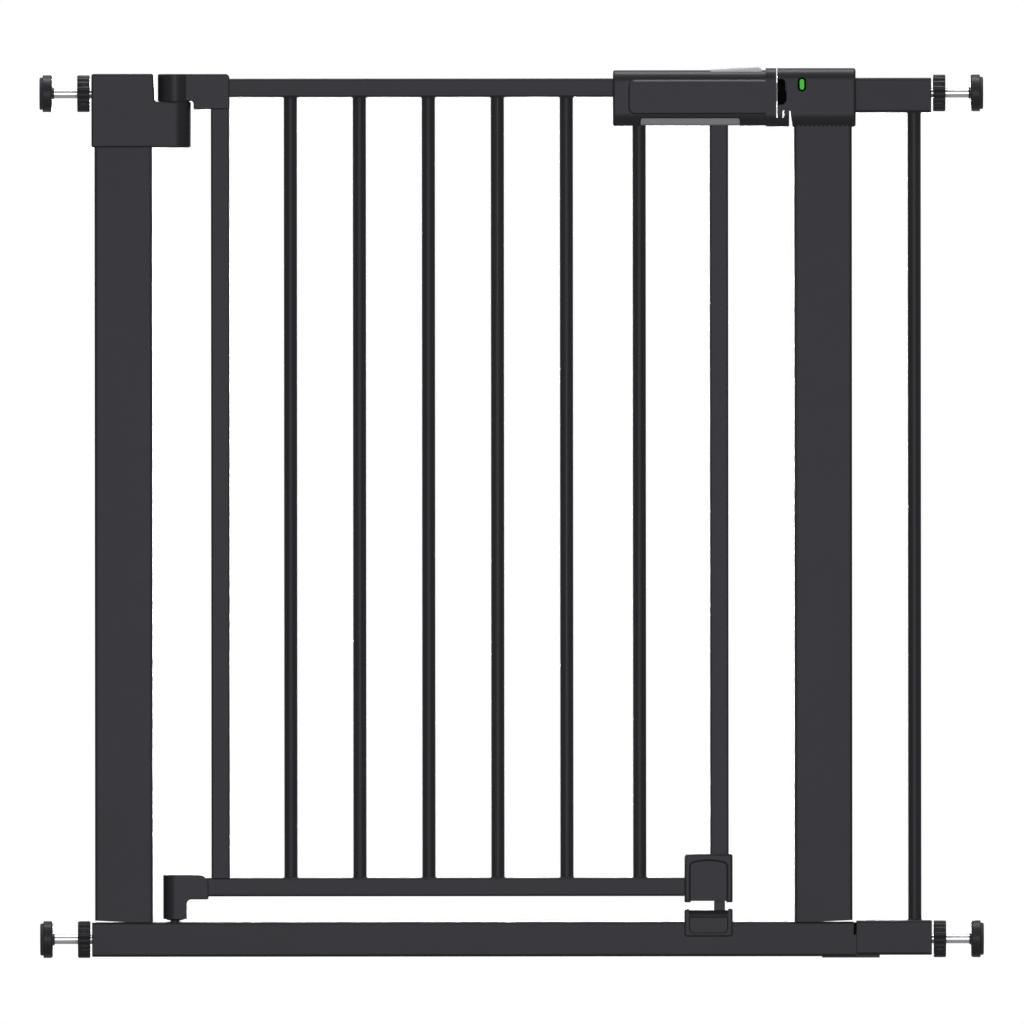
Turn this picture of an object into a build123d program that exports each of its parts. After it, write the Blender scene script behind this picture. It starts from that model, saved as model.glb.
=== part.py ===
from build123d import *
import os

# A pressure-mounted safety gate for a doorway: a frame braced between two walls by four screw
# spindles, a side extension, and a door that swings both ways and shuts itself.
# Millimetres; X to the right, Y away from the viewer, Z up; the tubes are centred on Y = 0.

# Frame
FRAME_WIDTH = 658.0          # threshold rail, end to end
EXTENSION_WIDTH = 68.7       # side extension, end to end
SPINDLE_SPACING = 732.1      # lower spindle axis to upper spindle axis
TUBE_DEPTH = 25.0            # rail, posts and extension tubes, front to back
RAIL_HEIGHT = 30.0
POST_WIDTH = 50.0
TUBE_WALL = 1.2
TUBE_CORNER = 2.5
TUBE_END_ROUND = 1.0         # rounding of the free tube ends
TUBE_END_BEVEL = 0.5         # bevel where the extension meets the rail
PRELOAD_GAP = 1.5            # wedge under the outer edge of each post, closed when braced
PRELOAD_REACH = 30.0         # length of that wedge
EXTENSION_RISE = 1.2         # lower extension tube above the rail
EXTENSION_DROP = 1.9         # upper extension tube below the spindle axis
RAIL_TONGUE = 3.4            # rail past the latch post, under the extension's end
RAIL_NOTCH = 2.5             # notch in the top of that tongue
RAIL_NOTCH_HEIGHT = 11.3
EXTENSION_GAP = 0.2          # upper extension tube to the latch post
EXTENSION_BAR_INSET = 14.7   # bar of the extension to its outer end
JOINT_PLATE = 1.1            # plate under the joint of rail and extension
JOINT_PLATE_INNER = 26.2     # plate from the latch post's edge, under the rail
JOINT_PLATE_OUTER = 23.6     # and under the extension
PLUG_LENGTH = 16.0
PLUG_WEB = 4.0               # web of the rail's plug behind the notch
PEG_REACH = 22.0             # pegs of the extension into the frame

# Screw spindles
ROD_DIAMETER = 8.0
ROD_EXPOSED = 20.1           # bare rod between the wheel and the pad
SPINDLE_TRAVEL = 17.5        # reach of a spindle each way from its photographed place
ROD_GRIP = 13.5              # rod left in the frame at full reach
WHEEL_DIAMETER = 32.2
WHEEL_WIDTH = 10.7
WHEEL_GAP = 1.6
WHEEL_LOBES = 12
PAD_DIAMETER = 31.9
PAD_CUP = 8.6
PAD_DOME = 0.4               # fall of the cup from its hub to its rim
PAD_HUB = 1.3
PAD_FACE = 2.7
PAD_FACE_DIAMETER = 27.9

# Door
DOOR_TUBE = 16.0             # square tube of the door
DOOR_TUBE_WALL = 1.0
DOOR_TUBE_CORNER = 1.8
BAR_DIAMETER = 11.5
BAR_WALL = 0.8
BAR_COUNT = 6
FIRST_BAR_OFFSET = 60.8      # hinge stile to the first bar
LAST_BAR_PITCH = 63.0        # last bar to the one before it
LAST_BAR_INSET = 22.7        # last bar from the left end of the handle
DOOR_GAP = 22.2              # threshold rail to the door's bottom rail
TOP_RAIL_RISE = 4.8          # door's top rail above the upper spindle axis

# Hinges
HINGE_OFFSET = 19.1          # hinge post to the hinge axis
STILE_OFFSET = 39.6          # hinge axis to the hinge stile
PIN_DIAMETER = 8.0
HOUSING_WALL = 2.6
HOUSING_RISE = 17.0          # housing above the upper spindle axis
HOUSING_HEIGHT = 63.6
HOUSING_SCREWS = (10.0, 34.0)
LOWER_KNUCKLE = 39.6         # height of the knuckle on the housing
KNUCKLE_DIAMETER = 28.6
KNUCKLE_GAP = 0.3
KNUCKLE_LIP = 0.8            # lip of the arm in a recess of the housing
KNUCKLE_RIM = 1.2            # knuckle outside that lip
ARM_DEPTH = 20.0
ARM_OVERLAP = 8.1            # arm past the middle of the hinge stile
ARM_SKIRT = 7.0              # arm below its knuckle
BLOCK_DEPTH = 20.4           # lower hinge block
BLOCK_REACH = 29.0           # hinge axis to the end of the lower hinge block
BLOCK_LEG = 16.9             # leg of the lower hinge block
BUSH_DIAMETER = 14.0

# Latch
LATCH_GAP = 0.95             # handle to catch
LATCH_RISE = 16.7            # latch guide and catch above the door's top rail
LATCH_HEIGHT = 50.7
LATCH_DEPTH = 38.0
LATCH_SHOULDER = 10.0        # rounding of the upper edges
LATCH_TAPER = 12.0           # height of the drawn-in lower edges
LATCH_DRAW = 5.4             # how far the lower edges draw in
LATCH_OVERHANG = 49.7        # latch stile to the end of the handle
HANDLE_LENGTH = 132.2
HANDLE_DEPTH = 37.0
HANDLE_TOP_STEP = 1.7        # grip below the latch guide
HANDLE_LOW_STEP = 0.8
SHELL_WALL = 2.2
PANEL_INSET = 13.3           # raised panel from the left end of the grip
PANEL_HEIGHT = 29.9
PANEL_RISE = 0.75            # middle of the panel above the middle of the grip
PANEL_LIFT = 1.4
PANEL_CORNER = 6.0
PANEL_BEVEL = 45.0           # slope of the panel's edges, degrees
GUIDE_WIDTH = 9.2            # latch guide at the end of the grip
HOOK_SHELF = 7.6
HOOK_REACH = 11.1
HOOK_TIP = 4.6
HOOK_HEIGHT = 13.6
HOOK_ROOM = 1.2              # clear space beside the hook in the catch
BOLT_HEIGHT = 16.0
BOLT_DEPTH = 12.0
BOLT_REACH = 7.2             # bolt past the end of the handle
BOLT_LENGTH = 33.5
BOLT_DROP = 3.9              # bolt below the middle of the top rail
BOLT_TRAVEL = 7.0
SLIDER_LENGTH = 44.2
SLIDER_RISE = 3.2
SLIDER_DEPTH = 24.0
SLIDER_INSET = 3.4           # slider to the latch guide
SQUEEZE_LENGTH = 85.7        # length that shows
SQUEEZE_OVERHANG = 18.0      # squeeze bar past the middle of the latch stile
SQUEEZE_LAP = 1.0            # squeeze bar behind the handle at each end of its slot
SQUEEZE_DEPTH = 24.0
SQUEEZE_SHOWN = 5.6
SQUEEZE_HEIGHT = 11.8
SQUEEZE_WALL = 2.4
SQUEEZE_TRAVEL = 6.0
PULL_ROD_DIAMETER = 6.0
CROSS_PIN_DIAMETER = 4.0
LOWER_BOLT = 9.5             # square lower bolt
LOWER_BOLT_BITE = 3.6        # lower bolt below the crest of the lower catch

# Catch on the latch post
CATCH_NOSE = 14.4            # catch in front of the latch post
CATCH_WALL = 3.3
CATCH_SCREWS = (10.0, 40.0)
MOUTH_HEIGHT = 22.3
MOUTH_DEPTH = 7.9
MOUTH_BEVEL = 3.0
WINDOW_WIDTH = 4.7
WINDOW_HEIGHT = 9.6
WINDOW_RIM = 1.4             # sunk rim round the window
WINDOW_SINK = 0.8
WINDOW_OFFSET = 6.8          # window from the edge of the latch post
WINDOW_DROP = 14.2           # window below the top of the catch
FLAG_THICKNESS = 1.4
TOOTH_COUNT = 12
TOOTH_PITCH = 3.8
TOOTH_DEPTH = 1.7

# Lower corner of the door
CORNER_WIDTH = 41.7
CORNER_OFFSET = 9.5          # middle of the corner block to the middle of the latch stile
CORNER_RISE = 20.4           # corner block above the bottom rail
CORNER_DROP = 5.4            # corner block below the bottom rail
CORNER_DEPTH = 24.0
PANEL_BORDER = 3.8
CORNER_NOTCH = 1.2           # underside between the feet of the corner block
CORNER_SINK = 1.6            # sunk panel of the corner block
PANEL_SINK = 1.1             # sunk panel of the lower catch
SINK_BEVEL = 45.0            # slope of their edges, degrees
LOWER_CATCH_RISE = 10.0      # crest of the lower catch above the rail
LOWER_CATCH_SKIRT = 12.8     # lower catch down the sides of the rail
LOWER_CATCH_WALL = 2.1

# Clearances
FIT = 0.15                   # plastic parts on tubes
PIN_FIT = 0.05               # pins in bores
SLIDE_FIT = 0.3              # sliding parts

# Heights
spindle_low = max(WHEEL_DIAMETER, RAIL_HEIGHT + 2 * JOINT_PLATE) / 2
spindle_high = spindle_low + SPINDLE_SPACING
rail_low = spindle_low - RAIL_HEIGHT / 2
rail_top = spindle_low + RAIL_HEIGHT / 2
bottom_rail_z = rail_top + DOOR_GAP + DOOR_TUBE / 2
top_rail_z = spindle_high + TOP_RAIL_RISE
bars_low = bottom_rail_z + DOOR_TUBE / 2
bars_high = top_rail_z - DOOR_TUBE / 2
housing_top = spindle_high + HOUSING_RISE
housing_low = housing_top - HOUSING_HEIGHT
knuckle_split = housing_low + LOWER_KNUCKLE
arm_low = knuckle_split + KNUCKLE_GAP
arm_top = housing_top - KNUCKLE_GAP / 2
post_top = housing_top - HOUSING_WALL
latch_top = top_rail_z + LATCH_RISE
latch_low = latch_top - LATCH_HEIGHT
handle_top = latch_top - HANDLE_TOP_STEP
handle_low = latch_low + HANDLE_LOW_STEP
bolt_z = top_rail_z - BOLT_DROP
bolt_low = bolt_z - BOLT_HEIGHT / 2
bolt_top = bolt_z + BOLT_HEIGHT / 2
squeeze_low = handle_low + 0.4
squeeze_top = squeeze_low + SQUEEZE_HEIGHT
cross_pin_z = squeeze_top - CROSS_PIN_DIAMETER / 2 - 1.3
corner_low = bottom_rail_z - DOOR_TUBE / 2 - CORNER_DROP
crest_z = rail_top + LOWER_CATCH_RISE
lower_bolt_low = crest_z - LOWER_BOLT_BITE

# Positions along the doorway
left_end = -(FRAME_WIDTH + EXTENSION_WIDTH) / 2
rail_end = left_end + FRAME_WIDTH
right_end = rail_end + EXTENSION_WIDTH
hinge_post_left = left_end + HOUSING_WALL
hinge_post_x = hinge_post_left + POST_WIDTH / 2
hinge_post_right = hinge_post_left + POST_WIDTH
latch_post_x = rail_end - POST_WIDTH / 2
latch_post_left = rail_end - POST_WIDTH
hinge_x = hinge_post_right + HINGE_OFFSET
hinge_stile_x = hinge_x + STILE_OFFSET
catch_left = latch_post_left - CATCH_NOSE
catch_right = rail_end + CATCH_WALL
handle_end = catch_left - LATCH_GAP
guide_left = handle_end - GUIDE_WIDTH
handle_left = guide_left - HANDLE_LENGTH
latch_stile_x = handle_end - LATCH_OVERHANG
stile_edge = latch_stile_x + DOOR_TUBE / 2
bolt_tip = handle_end + BOLT_REACH
bolt_tail = bolt_tip - BOLT_LENGTH
squeeze_right = latch_stile_x + SQUEEZE_OVERHANG
squeeze_left = squeeze_right - SQUEEZE_LENGTH
slider_right = guide_left - SLIDER_INSET
slider_left = slider_right - SLIDER_LENGTH
stem_right = slider_right - 2.7
stem_left = stem_right - 9.0
corner_left = latch_stile_x - CORNER_OFFSET - CORNER_WIDTH / 2
corner_right = corner_left + CORNER_WIDTH
first_bar_x = hinge_stile_x + FIRST_BAR_OFFSET
last_bar_x = handle_left + LAST_BAR_INSET
bar_pitch = (last_bar_x - LAST_BAR_PITCH - first_bar_x) / (BAR_COUNT - 2)
bar_xs = [first_bar_x + bar_pitch * i for i in range(BAR_COUNT - 1)] + [last_bar_x]
extension_left = rail_end + RAIL_TONGUE
extension_bar_x = right_end - EXTENSION_BAR_INSET
extension_low_z = rail_low + EXTENSION_RISE + RAIL_HEIGHT / 2
extension_high_z = spindle_high - EXTENSION_DROP

os.makedirs("parts", exist_ok=True)


def save(name, shape):
    """Labels a finished part and writes its STEP file."""
    shape.label = name
    export_step(shape, "parts/" + name + ".step")


def pocket(x, y, z):
    """Cuts a box, given as (low, high) pairs, out of the part being built."""
    with Locations(((x[0] + x[1]) / 2, (y[0] + y[1]) / 2, (z[0] + z[1]) / 2)):
        Box(x[1] - x[0], y[1] - y[0], z[1] - z[0], mode=Mode.SUBTRACT)


def outline(plane, points, radii):
    """A closed straight-sided face with one corner radius for each point."""
    with BuildSketch(plane) as face:
        with BuildLine():
            FilletPolyline(*points, radius=radii, close=True)
        make_face()
    return face.sketch


def ring(plane, outer, inner):
    """A ring-shaped face, or a disc where the inner radius is nothing."""
    with BuildSketch(plane) as face:
        Circle(outer)
        if inner > 0:
            Circle(inner, mode=Mode.SUBTRACT)
    return face.sketch


def facing_x(x, y, z, side):
    """A plane at a point that faces along X, to the right for side 1 and left for -1."""
    return Plane(origin=(x, y, z), x_dir=(0, side, 0), z_dir=(side, 0, 0))


def facing_y(x, y, z, side):
    """A plane at a point that faces along Y, to the rear for side 1 and the front for -1."""
    return Plane(origin=(x, y, z), x_dir=(-side, 0, 0), z_dir=(0, side, 0))


def box_tube(plane, across, along, wall, corner, length):
    """A straight box-section tube that stands on its plane."""
    with BuildSketch(plane) as face:
        RectangleRounded(across, along, corner)
        inner_corner = max(corner - wall, 0.2)
        RectangleRounded(across - 2 * wall, along - 2 * wall, inner_corner, mode=Mode.SUBTRACT)
    extrude(face.sketch, amount=length)


def door_tube(plane, length):
    """A length of the door's square tube that stands on its plane."""
    box_tube(plane, DOOR_TUBE, DOOR_TUBE, DOOR_TUBE_WALL, DOOR_TUBE_CORNER, length)


def grip_section(plane, low, high, depth, shoulder=LATCH_SHOULDER):
    """Cross-section of handle and catch: round shoulders above, sides drawn in towards the foot."""
    half = depth / 2
    waist = low + LATCH_TAPER
    with BuildSketch(plane) as face:
        with BuildLine():
            Line((0, high), (half - shoulder, high))
            TangentArc((half, high - shoulder), (half - shoulder, high), tangent=(0, 1))
            Line((half, high - shoulder), (half, waist))
            TangentArc((half, waist), (half - LATCH_DRAW, low), tangent=(0, -1))
            Line((half - LATCH_DRAW, low), (0, low))
            mirror(about=Plane.YZ)
        make_face()
    return face.sketch


def coil(start, direction, turns, length, radius, wire):
    """An open coil of round wire, its ends just clear of both seats."""
    height = length - 2 * wire - 0.2
    with BuildPart() as spring:
        with BuildLine() as path:
            lift = Vector(*direction) * (wire + 0.1)
            Helix(height / turns, height, radius, center=Vector(*start) + lift, direction=direction)
        with BuildSketch(Plane(origin=path.line @ 0, z_dir=path.line % 0)):
            Circle(wire)
        sweep(is_frenet=True)
    return spring.part


# Frame tubes

def foot_wedge(outer, inner):
    """Takes the preload wedge out of the foot of a post, from its outer edge inwards."""
    beyond = outer + (outer - inner) * 0.1
    face = outline(Plane.XZ, [(inner, rail_top), (beyond, rail_top), (beyond, rail_top + PRELOAD_GAP)], 0)
    extrude(face, amount=TUBE_DEPTH, both=True, mode=Mode.SUBTRACT)


with BuildPart() as threshold_rail:
    rail_plane = facing_x(left_end, 0, spindle_low, 1)
    box_tube(rail_plane, TUBE_DEPTH, RAIL_HEIGHT, TUBE_WALL, TUBE_CORNER, FRAME_WIDTH + RAIL_TONGUE)
    fillet(threshold_rail.faces().sort_by(Axis.X)[0].outer_wire().edges(), TUBE_END_ROUND)
    tongue_end = rail_end + RAIL_TONGUE
    notch_zs = (rail_top - RAIL_NOTCH_HEIGHT, rail_top + 1)
    pocket((tongue_end - RAIL_NOTCH, tongue_end + 1), (-TUBE_DEPTH, TUBE_DEPTH), notch_zs)
    face = ring(Plane(origin=(hinge_x, 0, rail_top + 1)), BUSH_DIAMETER / 2 + PIN_FIT, 0)
    extrude(face, amount=-TUBE_WALL - 2, mode=Mode.SUBTRACT)
save("threshold_rail", threshold_rail.part)

with BuildPart() as hinge_post:
    post_plane = Plane(origin=(hinge_post_x, 0, rail_top))
    box_tube(post_plane, POST_WIDTH, TUBE_DEPTH, TUBE_WALL, TUBE_CORNER, post_top - rail_top)
    foot_wedge(hinge_post_left, hinge_post_left + PRELOAD_REACH)
    face = ring(facing_x(hinge_post_left - 1, 0, spindle_high, 1), ROD_DIAMETER / 2 + 2 * SLIDE_FIT, 0)
    extrude(face, amount=TUBE_WALL + 2, mode=Mode.SUBTRACT)
    with Locations(*[facing_y(hinge_post_x, TUBE_DEPTH / 2, housing_low + h, 1) for h in HOUSING_SCREWS]):
        Hole(2.0, depth=TUBE_WALL + 1)
save("hinge_post", hinge_post.part)

with BuildPart() as latch_post:
    post_plane = Plane(origin=(latch_post_x, 0, rail_top))
    box_tube(post_plane, POST_WIDTH, TUBE_DEPTH, TUBE_WALL, TUBE_CORNER, post_top - rail_top)
    foot_wedge(rail_end, rail_end - PRELOAD_REACH)
    face = ring(facing_x(rail_end + 1, 0, spindle_high, -1), ROD_DIAMETER / 2 + 2 * SLIDE_FIT, 0)
    extrude(face, amount=TUBE_WALL + 2, mode=Mode.SUBTRACT)
    with Locations(*[facing_y(latch_post_x, TUBE_DEPTH / 2, latch_low + h, 1) for h in CATCH_SCREWS]):
        Hole(2.0, depth=TUBE_WALL + 1)
save("latch_post", latch_post.part)

with BuildPart() as extension_top_tube:
    upper_plane = facing_x(rail_end + EXTENSION_GAP, 0, extension_high_z, 1)
    upper_length = EXTENSION_WIDTH - EXTENSION_GAP
    box_tube(upper_plane, TUBE_DEPTH, RAIL_HEIGHT, TUBE_WALL, TUBE_CORNER, upper_length)
    fillet(extension_top_tube.faces().sort_by(Axis.X)[-1].outer_wire().edges(), TUBE_END_ROUND)
save("extension_top_tube", extension_top_tube.part)

with BuildPart() as extension_bottom_tube:
    lower_plane = facing_x(extension_left, 0, extension_low_z, 1)
    lower_length = right_end - extension_left
    box_tube(lower_plane, TUBE_DEPTH, RAIL_HEIGHT, TUBE_WALL, TUBE_CORNER, lower_length)
    fillet(extension_bottom_tube.faces().sort_by(Axis.X)[-1].outer_wire().edges(), TUBE_END_ROUND)
    chamfer(extension_bottom_tube.faces().sort_by(Axis.X)[0].outer_wire().edges(), TUBE_END_BEVEL)
save("extension_bottom_tube", extension_bottom_tube.part)

with BuildPart() as extension_bar:
    extension_bar_low = extension_low_z + RAIL_HEIGHT / 2
    extension_bar_high = extension_high_z - RAIL_HEIGHT / 2
    bar_foot = Plane(origin=(extension_bar_x, 0, extension_bar_low))
    face = ring(bar_foot, BAR_DIAMETER / 2, BAR_DIAMETER / 2 - BAR_WALL)
    extrude(face, amount=extension_bar_high - extension_bar_low)
save("extension_bar", extension_bar.part)

with BuildPart() as joint_plate:
    plate_points = [
        (rail_end - JOINT_PLATE_INNER, rail_low - JOINT_PLATE),
        (rail_end + JOINT_PLATE_OUTER, rail_low - JOINT_PLATE),
        (rail_end + JOINT_PLATE_OUTER, rail_low + EXTENSION_RISE),
        (extension_left, rail_low + EXTENSION_RISE),
        (extension_left, rail_low),
        (rail_end - JOINT_PLATE_INNER, rail_low),
    ]
    face = outline(Plane.XZ, plate_points, 0)
    extrude(face, amount=TUBE_DEPTH / 2 - TUBE_CORNER, both=True)
save("joint_plate", joint_plate.part)


def end_plug(x, side, tube_z, axis_z, bore):
    """A plug pushed into a tube's end, which faces to a side, bored along a spindle or peg axis."""
    with BuildSketch(facing_x(x, 0, tube_z, -side)) as face:
        gap = 2 * (TUBE_WALL + FIT)
        RectangleRounded(TUBE_DEPTH - gap, RAIL_HEIGHT - gap, 1.0)
        with Locations((0, axis_z - tube_z)):
            Circle(bore, mode=Mode.SUBTRACT)
    extrude(face.sketch, amount=PLUG_LENGTH)


loose_bore = ROD_DIAMETER / 2 + SLIDE_FIT
tight_bore = ROD_DIAMETER / 2 + PIN_FIT
with BuildPart() as tube_end_plugs:
    end_plug(left_end, -1, spindle_low, spindle_low, loose_bore)
    end_plug(rail_end, 1, spindle_low, spindle_low, loose_bore)
    with BuildSketch(facing_x(rail_end, 0, spindle_low, 1)) as web:
        Rectangle(PLUG_WEB, RAIL_HEIGHT - 2 * (TUBE_WALL + FIT))
        Circle(loose_bore, mode=Mode.SUBTRACT)
    extrude(web.sketch, amount=RAIL_TONGUE - SLIDE_FIT)
    end_plug(extension_left, -1, extension_low_z, spindle_low, tight_bore)
    end_plug(rail_end + EXTENSION_GAP, -1, extension_high_z, spindle_high, tight_bore)
    end_plug(right_end, 1, extension_low_z, spindle_low, loose_bore)
    end_plug(right_end, 1, extension_high_z, spindle_high, loose_bore)
save("tube_end_plugs", tube_end_plugs.part)

with BuildPart() as extension_pegs:
    for peg_z in (spindle_low, spindle_high):
        face = ring(facing_x(rail_end - PEG_REACH, 0, peg_z, 1), ROD_DIAMETER / 2, 0)
        extrude(face, amount=PEG_REACH + PLUG_LENGTH)
save("extension_pegs", extension_pegs.part)


# Screw spindles, one set at each corner

def spindle(place, side, end_x, axis_z):
    """Hand wheel, rod, pad cup and pad face of one corner; side is 1 for right and -1 for left."""
    wheel_radius = WHEEL_DIAMETER / 2
    groove = wheel_radius * 0.14
    with BuildPart() as hand_wheel:
        with BuildSketch(facing_x(end_x + side * WHEEL_GAP, 0, axis_z, side)):
            Circle(wheel_radius)
            with PolarLocations(wheel_radius + groove * 0.35, WHEEL_LOBES):
                Circle(groove, mode=Mode.SUBTRACT)
            Circle(ROD_DIAMETER / 2 + FIT, mode=Mode.SUBTRACT)
        extrude(amount=WHEEL_WIDTH)
        rims = hand_wheel.edges().filter_by(Plane.YZ).filter_by(lambda e: e.radius > wheel_radius / 2)
        chamfer(rims, 0.7)
    save("hand_wheel_" + place, hand_wheel.part)

    hub = WHEEL_GAP + WHEEL_WIDTH + ROD_EXPOSED
    rod_tail = ROD_GRIP + SPINDLE_TRAVEL
    cup_inner = hub + PAD_HUB
    cup_outer = cup_inner + PAD_CUP
    rod_end = cup_outer - 2.1
    with BuildPart() as spindle_rod:
        face = ring(facing_x(end_x - side * rod_tail, 0, axis_z, side), ROD_DIAMETER / 2, 0)
        extrude(face, amount=rod_tail + rod_end)
        chamfer(spindle_rod.edges(), 0.6)
    save("spindle_rod_" + place, spindle_rod.part)

    lathe = Plane(origin=(end_x, 0, axis_z), x_dir=(0, 0, 1), z_dir=(0, side, 0))
    turning = Axis((end_x, 0, axis_z), (side, 0, 0))
    bore = ROD_DIAMETER / 2 + PIN_FIT
    with BuildPart() as pad_cup:
        cup_points = [
            (bore, hub), (bore + 0.6, hub), (bore + 1.0, cup_inner),
            (PAD_DIAMETER / 2, cup_inner + PAD_DOME), (PAD_DIAMETER / 2, cup_outer),
            (0, cup_outer), (0, rod_end + 0.05), (bore, rod_end + 0.05),
        ]
        face = outline(lathe, cup_points, [0, 0, 0, 1.8, 0.8, 0, 0, 0])
        revolve(face, axis=turning)
    save("pad_cup_" + place, pad_cup.part)

    with BuildPart() as pad_face:
        face_end = cup_outer + PAD_FACE
        face_points = [
            (0, cup_outer), (PAD_FACE_DIAMETER / 2, cup_outer),
            (PAD_FACE_DIAMETER / 2, face_end), (0, face_end),
        ]
        face = outline(lathe, face_points, [0, 0, 1.0, 0])
        revolve(face, axis=turning)
    save("pad_face_" + place, pad_face.part)


spindle("left_lower", -1, left_end, spindle_low)
spindle("left_upper", -1, left_end, spindle_high)
spindle("right_lower", 1, right_end, spindle_low)
spindle("right_upper", 1, right_end, spindle_high)


# Door frame

with BuildPart() as hinge_stile:
    door_tube(Plane(origin=(hinge_stile_x, 0, bars_low)), bars_high - bars_low)
save("hinge_stile", hinge_stile.part)

with BuildPart() as latch_stile:
    stile_low = bottom_rail_z - DOOR_TUBE / 2
    door_tube(Plane(origin=(latch_stile_x, 0, stile_low)), bars_high - stile_low)
    with BuildSketch(Plane.XZ):
        with Locations((latch_stile_x, cross_pin_z + SQUEEZE_TRAVEL / 2)):
            slot_width = CROSS_PIN_DIAMETER + 2 * SLIDE_FIT
            SlotOverall(SQUEEZE_TRAVEL + slot_width, slot_width, rotation=90)
    extrude(amount=DOOR_TUBE, both=True, mode=Mode.SUBTRACT)
save("latch_stile", latch_stile.part)

with BuildPart() as door_top_rail:
    top_rail_left = hinge_stile_x - DOOR_TUBE / 2
    door_tube(facing_x(top_rail_left, 0, top_rail_z, 1), stile_edge - top_rail_left)
save("door_top_rail", door_top_rail.part)

with BuildPart() as door_bottom_rail:
    bottom_rail_left = hinge_x + BLOCK_REACH - 10.0
    bottom_rail_right = latch_stile_x - DOOR_TUBE / 2
    door_tube(facing_x(bottom_rail_left, 0, bottom_rail_z, 1), bottom_rail_right - bottom_rail_left)
save("door_bottom_rail", door_bottom_rail.part)

with BuildPart() as door_bars:
    for bar_x in bar_xs:
        face = ring(Plane(origin=(bar_x, 0, bars_low)), BAR_DIAMETER / 2, BAR_DIAMETER / 2 - BAR_WALL)
        extrude(face, amount=bars_high - bars_low)
save("door_bars", door_bars.part)

with BuildPart() as top_rail_plug:
    plug_side = DOOR_TUBE - 2 * (DOOR_TUBE_WALL + FIT)
    with BuildSketch(facing_x(stile_edge + 0.8, 0, top_rail_z, -1)):
        RectangleRounded(plug_side, plug_side, 1.0)
    extrude(amount=9.0)
    with BuildSketch(facing_x(stile_edge, 0, top_rail_z, 1)):
        RectangleRounded(DOOR_TUBE, DOOR_TUBE, DOOR_TUBE_CORNER)
    extrude(amount=0.8)
save("top_rail_plug", top_rail_plug.part)
spring_seat = stile_edge + 0.8


# Upper hinge

knuckle = KNUCKLE_DIAMETER / 2
spring_room = knuckle - 4.6
pin_radius = PIN_DIAMETER / 2
plug_height = 4.0

with BuildPart() as hinge_housing:
    block_right = hinge_post_right + HOUSING_WALL / 2
    housing_points = [
        (left_end, housing_low), (hinge_x + knuckle, housing_low), (hinge_x + knuckle, knuckle_split),
        (block_right + 0.8, knuckle_split), (block_right - 0.4, housing_top), (left_end, housing_top),
    ]
    face = outline(Plane.XZ, housing_points, [2.0, 1.8, 1.8, 2.0, 2.0, 2.0])
    extrude(face, amount=knuckle, both=True)
    flats = hinge_housing.faces().sort_by(Axis.Y)
    fillet(flats[0].edges() + flats[-1].edges(), 1.6)
    with BuildSketch(Plane.XY.offset(housing_low - 1)):
        with Locations(((left_end + hinge_x) / 2, 0)):
            Rectangle(hinge_x - left_end, KNUCKLE_DIAMETER)
        with Locations((hinge_x, 0)):
            Circle(knuckle)
    extrude(amount=HOUSING_HEIGHT + 2, mode=Mode.INTERSECT)
    with BuildSketch(Plane.XY.offset(housing_low - 1)):
        with Locations((hinge_post_x, 0)):
            RectangleRounded(POST_WIDTH + 2 * FIT, TUBE_DEPTH + 2 * FIT, TUBE_CORNER)
    extrude(amount=post_top + FIT - housing_low + 1, mode=Mode.SUBTRACT)
    face = ring(Plane(origin=(hinge_x, 0, housing_low - 1)), spring_room, 0)
    extrude(face, amount=LOWER_KNUCKLE - 6.0, mode=Mode.SUBTRACT)
    face = ring(Plane(origin=(hinge_x, 0, housing_low)), pin_radius + PIN_FIT, 0)
    extrude(face, amount=LOWER_KNUCKLE + 1, mode=Mode.SUBTRACT)
    face = ring(Plane(origin=(hinge_x, 0, knuckle_split + 1)), knuckle - KNUCKLE_RIM + SLIDE_FIT, 0)
    extrude(face, amount=-KNUCKLE_LIP - SLIDE_FIT - 1, mode=Mode.SUBTRACT)
    face = ring(facing_x(left_end - 1, 0, spindle_high, 1), loose_bore, 0)
    extrude(face, amount=HOUSING_WALL + 2, mode=Mode.SUBTRACT)
    with Locations(*[facing_y(hinge_post_x, knuckle, housing_low + h, 1) for h in HOUSING_SCREWS]):
        CounterSinkHole(2.0, 3.6, depth=4.0)
save("hinge_housing", hinge_housing.part)

with BuildPart() as knuckle_plug:
    face = ring(Plane(origin=(hinge_x, 0, housing_low + 0.4)), spring_room - PIN_FIT, 0)
    extrude(face, amount=plug_height)
    face = ring(Plane(origin=(hinge_x, 0, housing_low + 1.6)), pin_radius + PIN_FIT, 0)
    extrude(face, amount=plug_height, mode=Mode.SUBTRACT)
save("knuckle_plug", knuckle_plug.part)

spring_low = housing_low + 0.4 + plug_height
spring_high = housing_low + LOWER_KNUCKLE - 7.0
coil_wire = 1.0
coil_radius = (pin_radius + spring_room) / 2
spring_base = (hinge_x, 0, spring_low)
closing_spring = coil(spring_base, (0, 0, 1), 5, spring_high - spring_low, coil_radius, coil_wire)
save("closing_spring", closing_spring)

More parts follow.
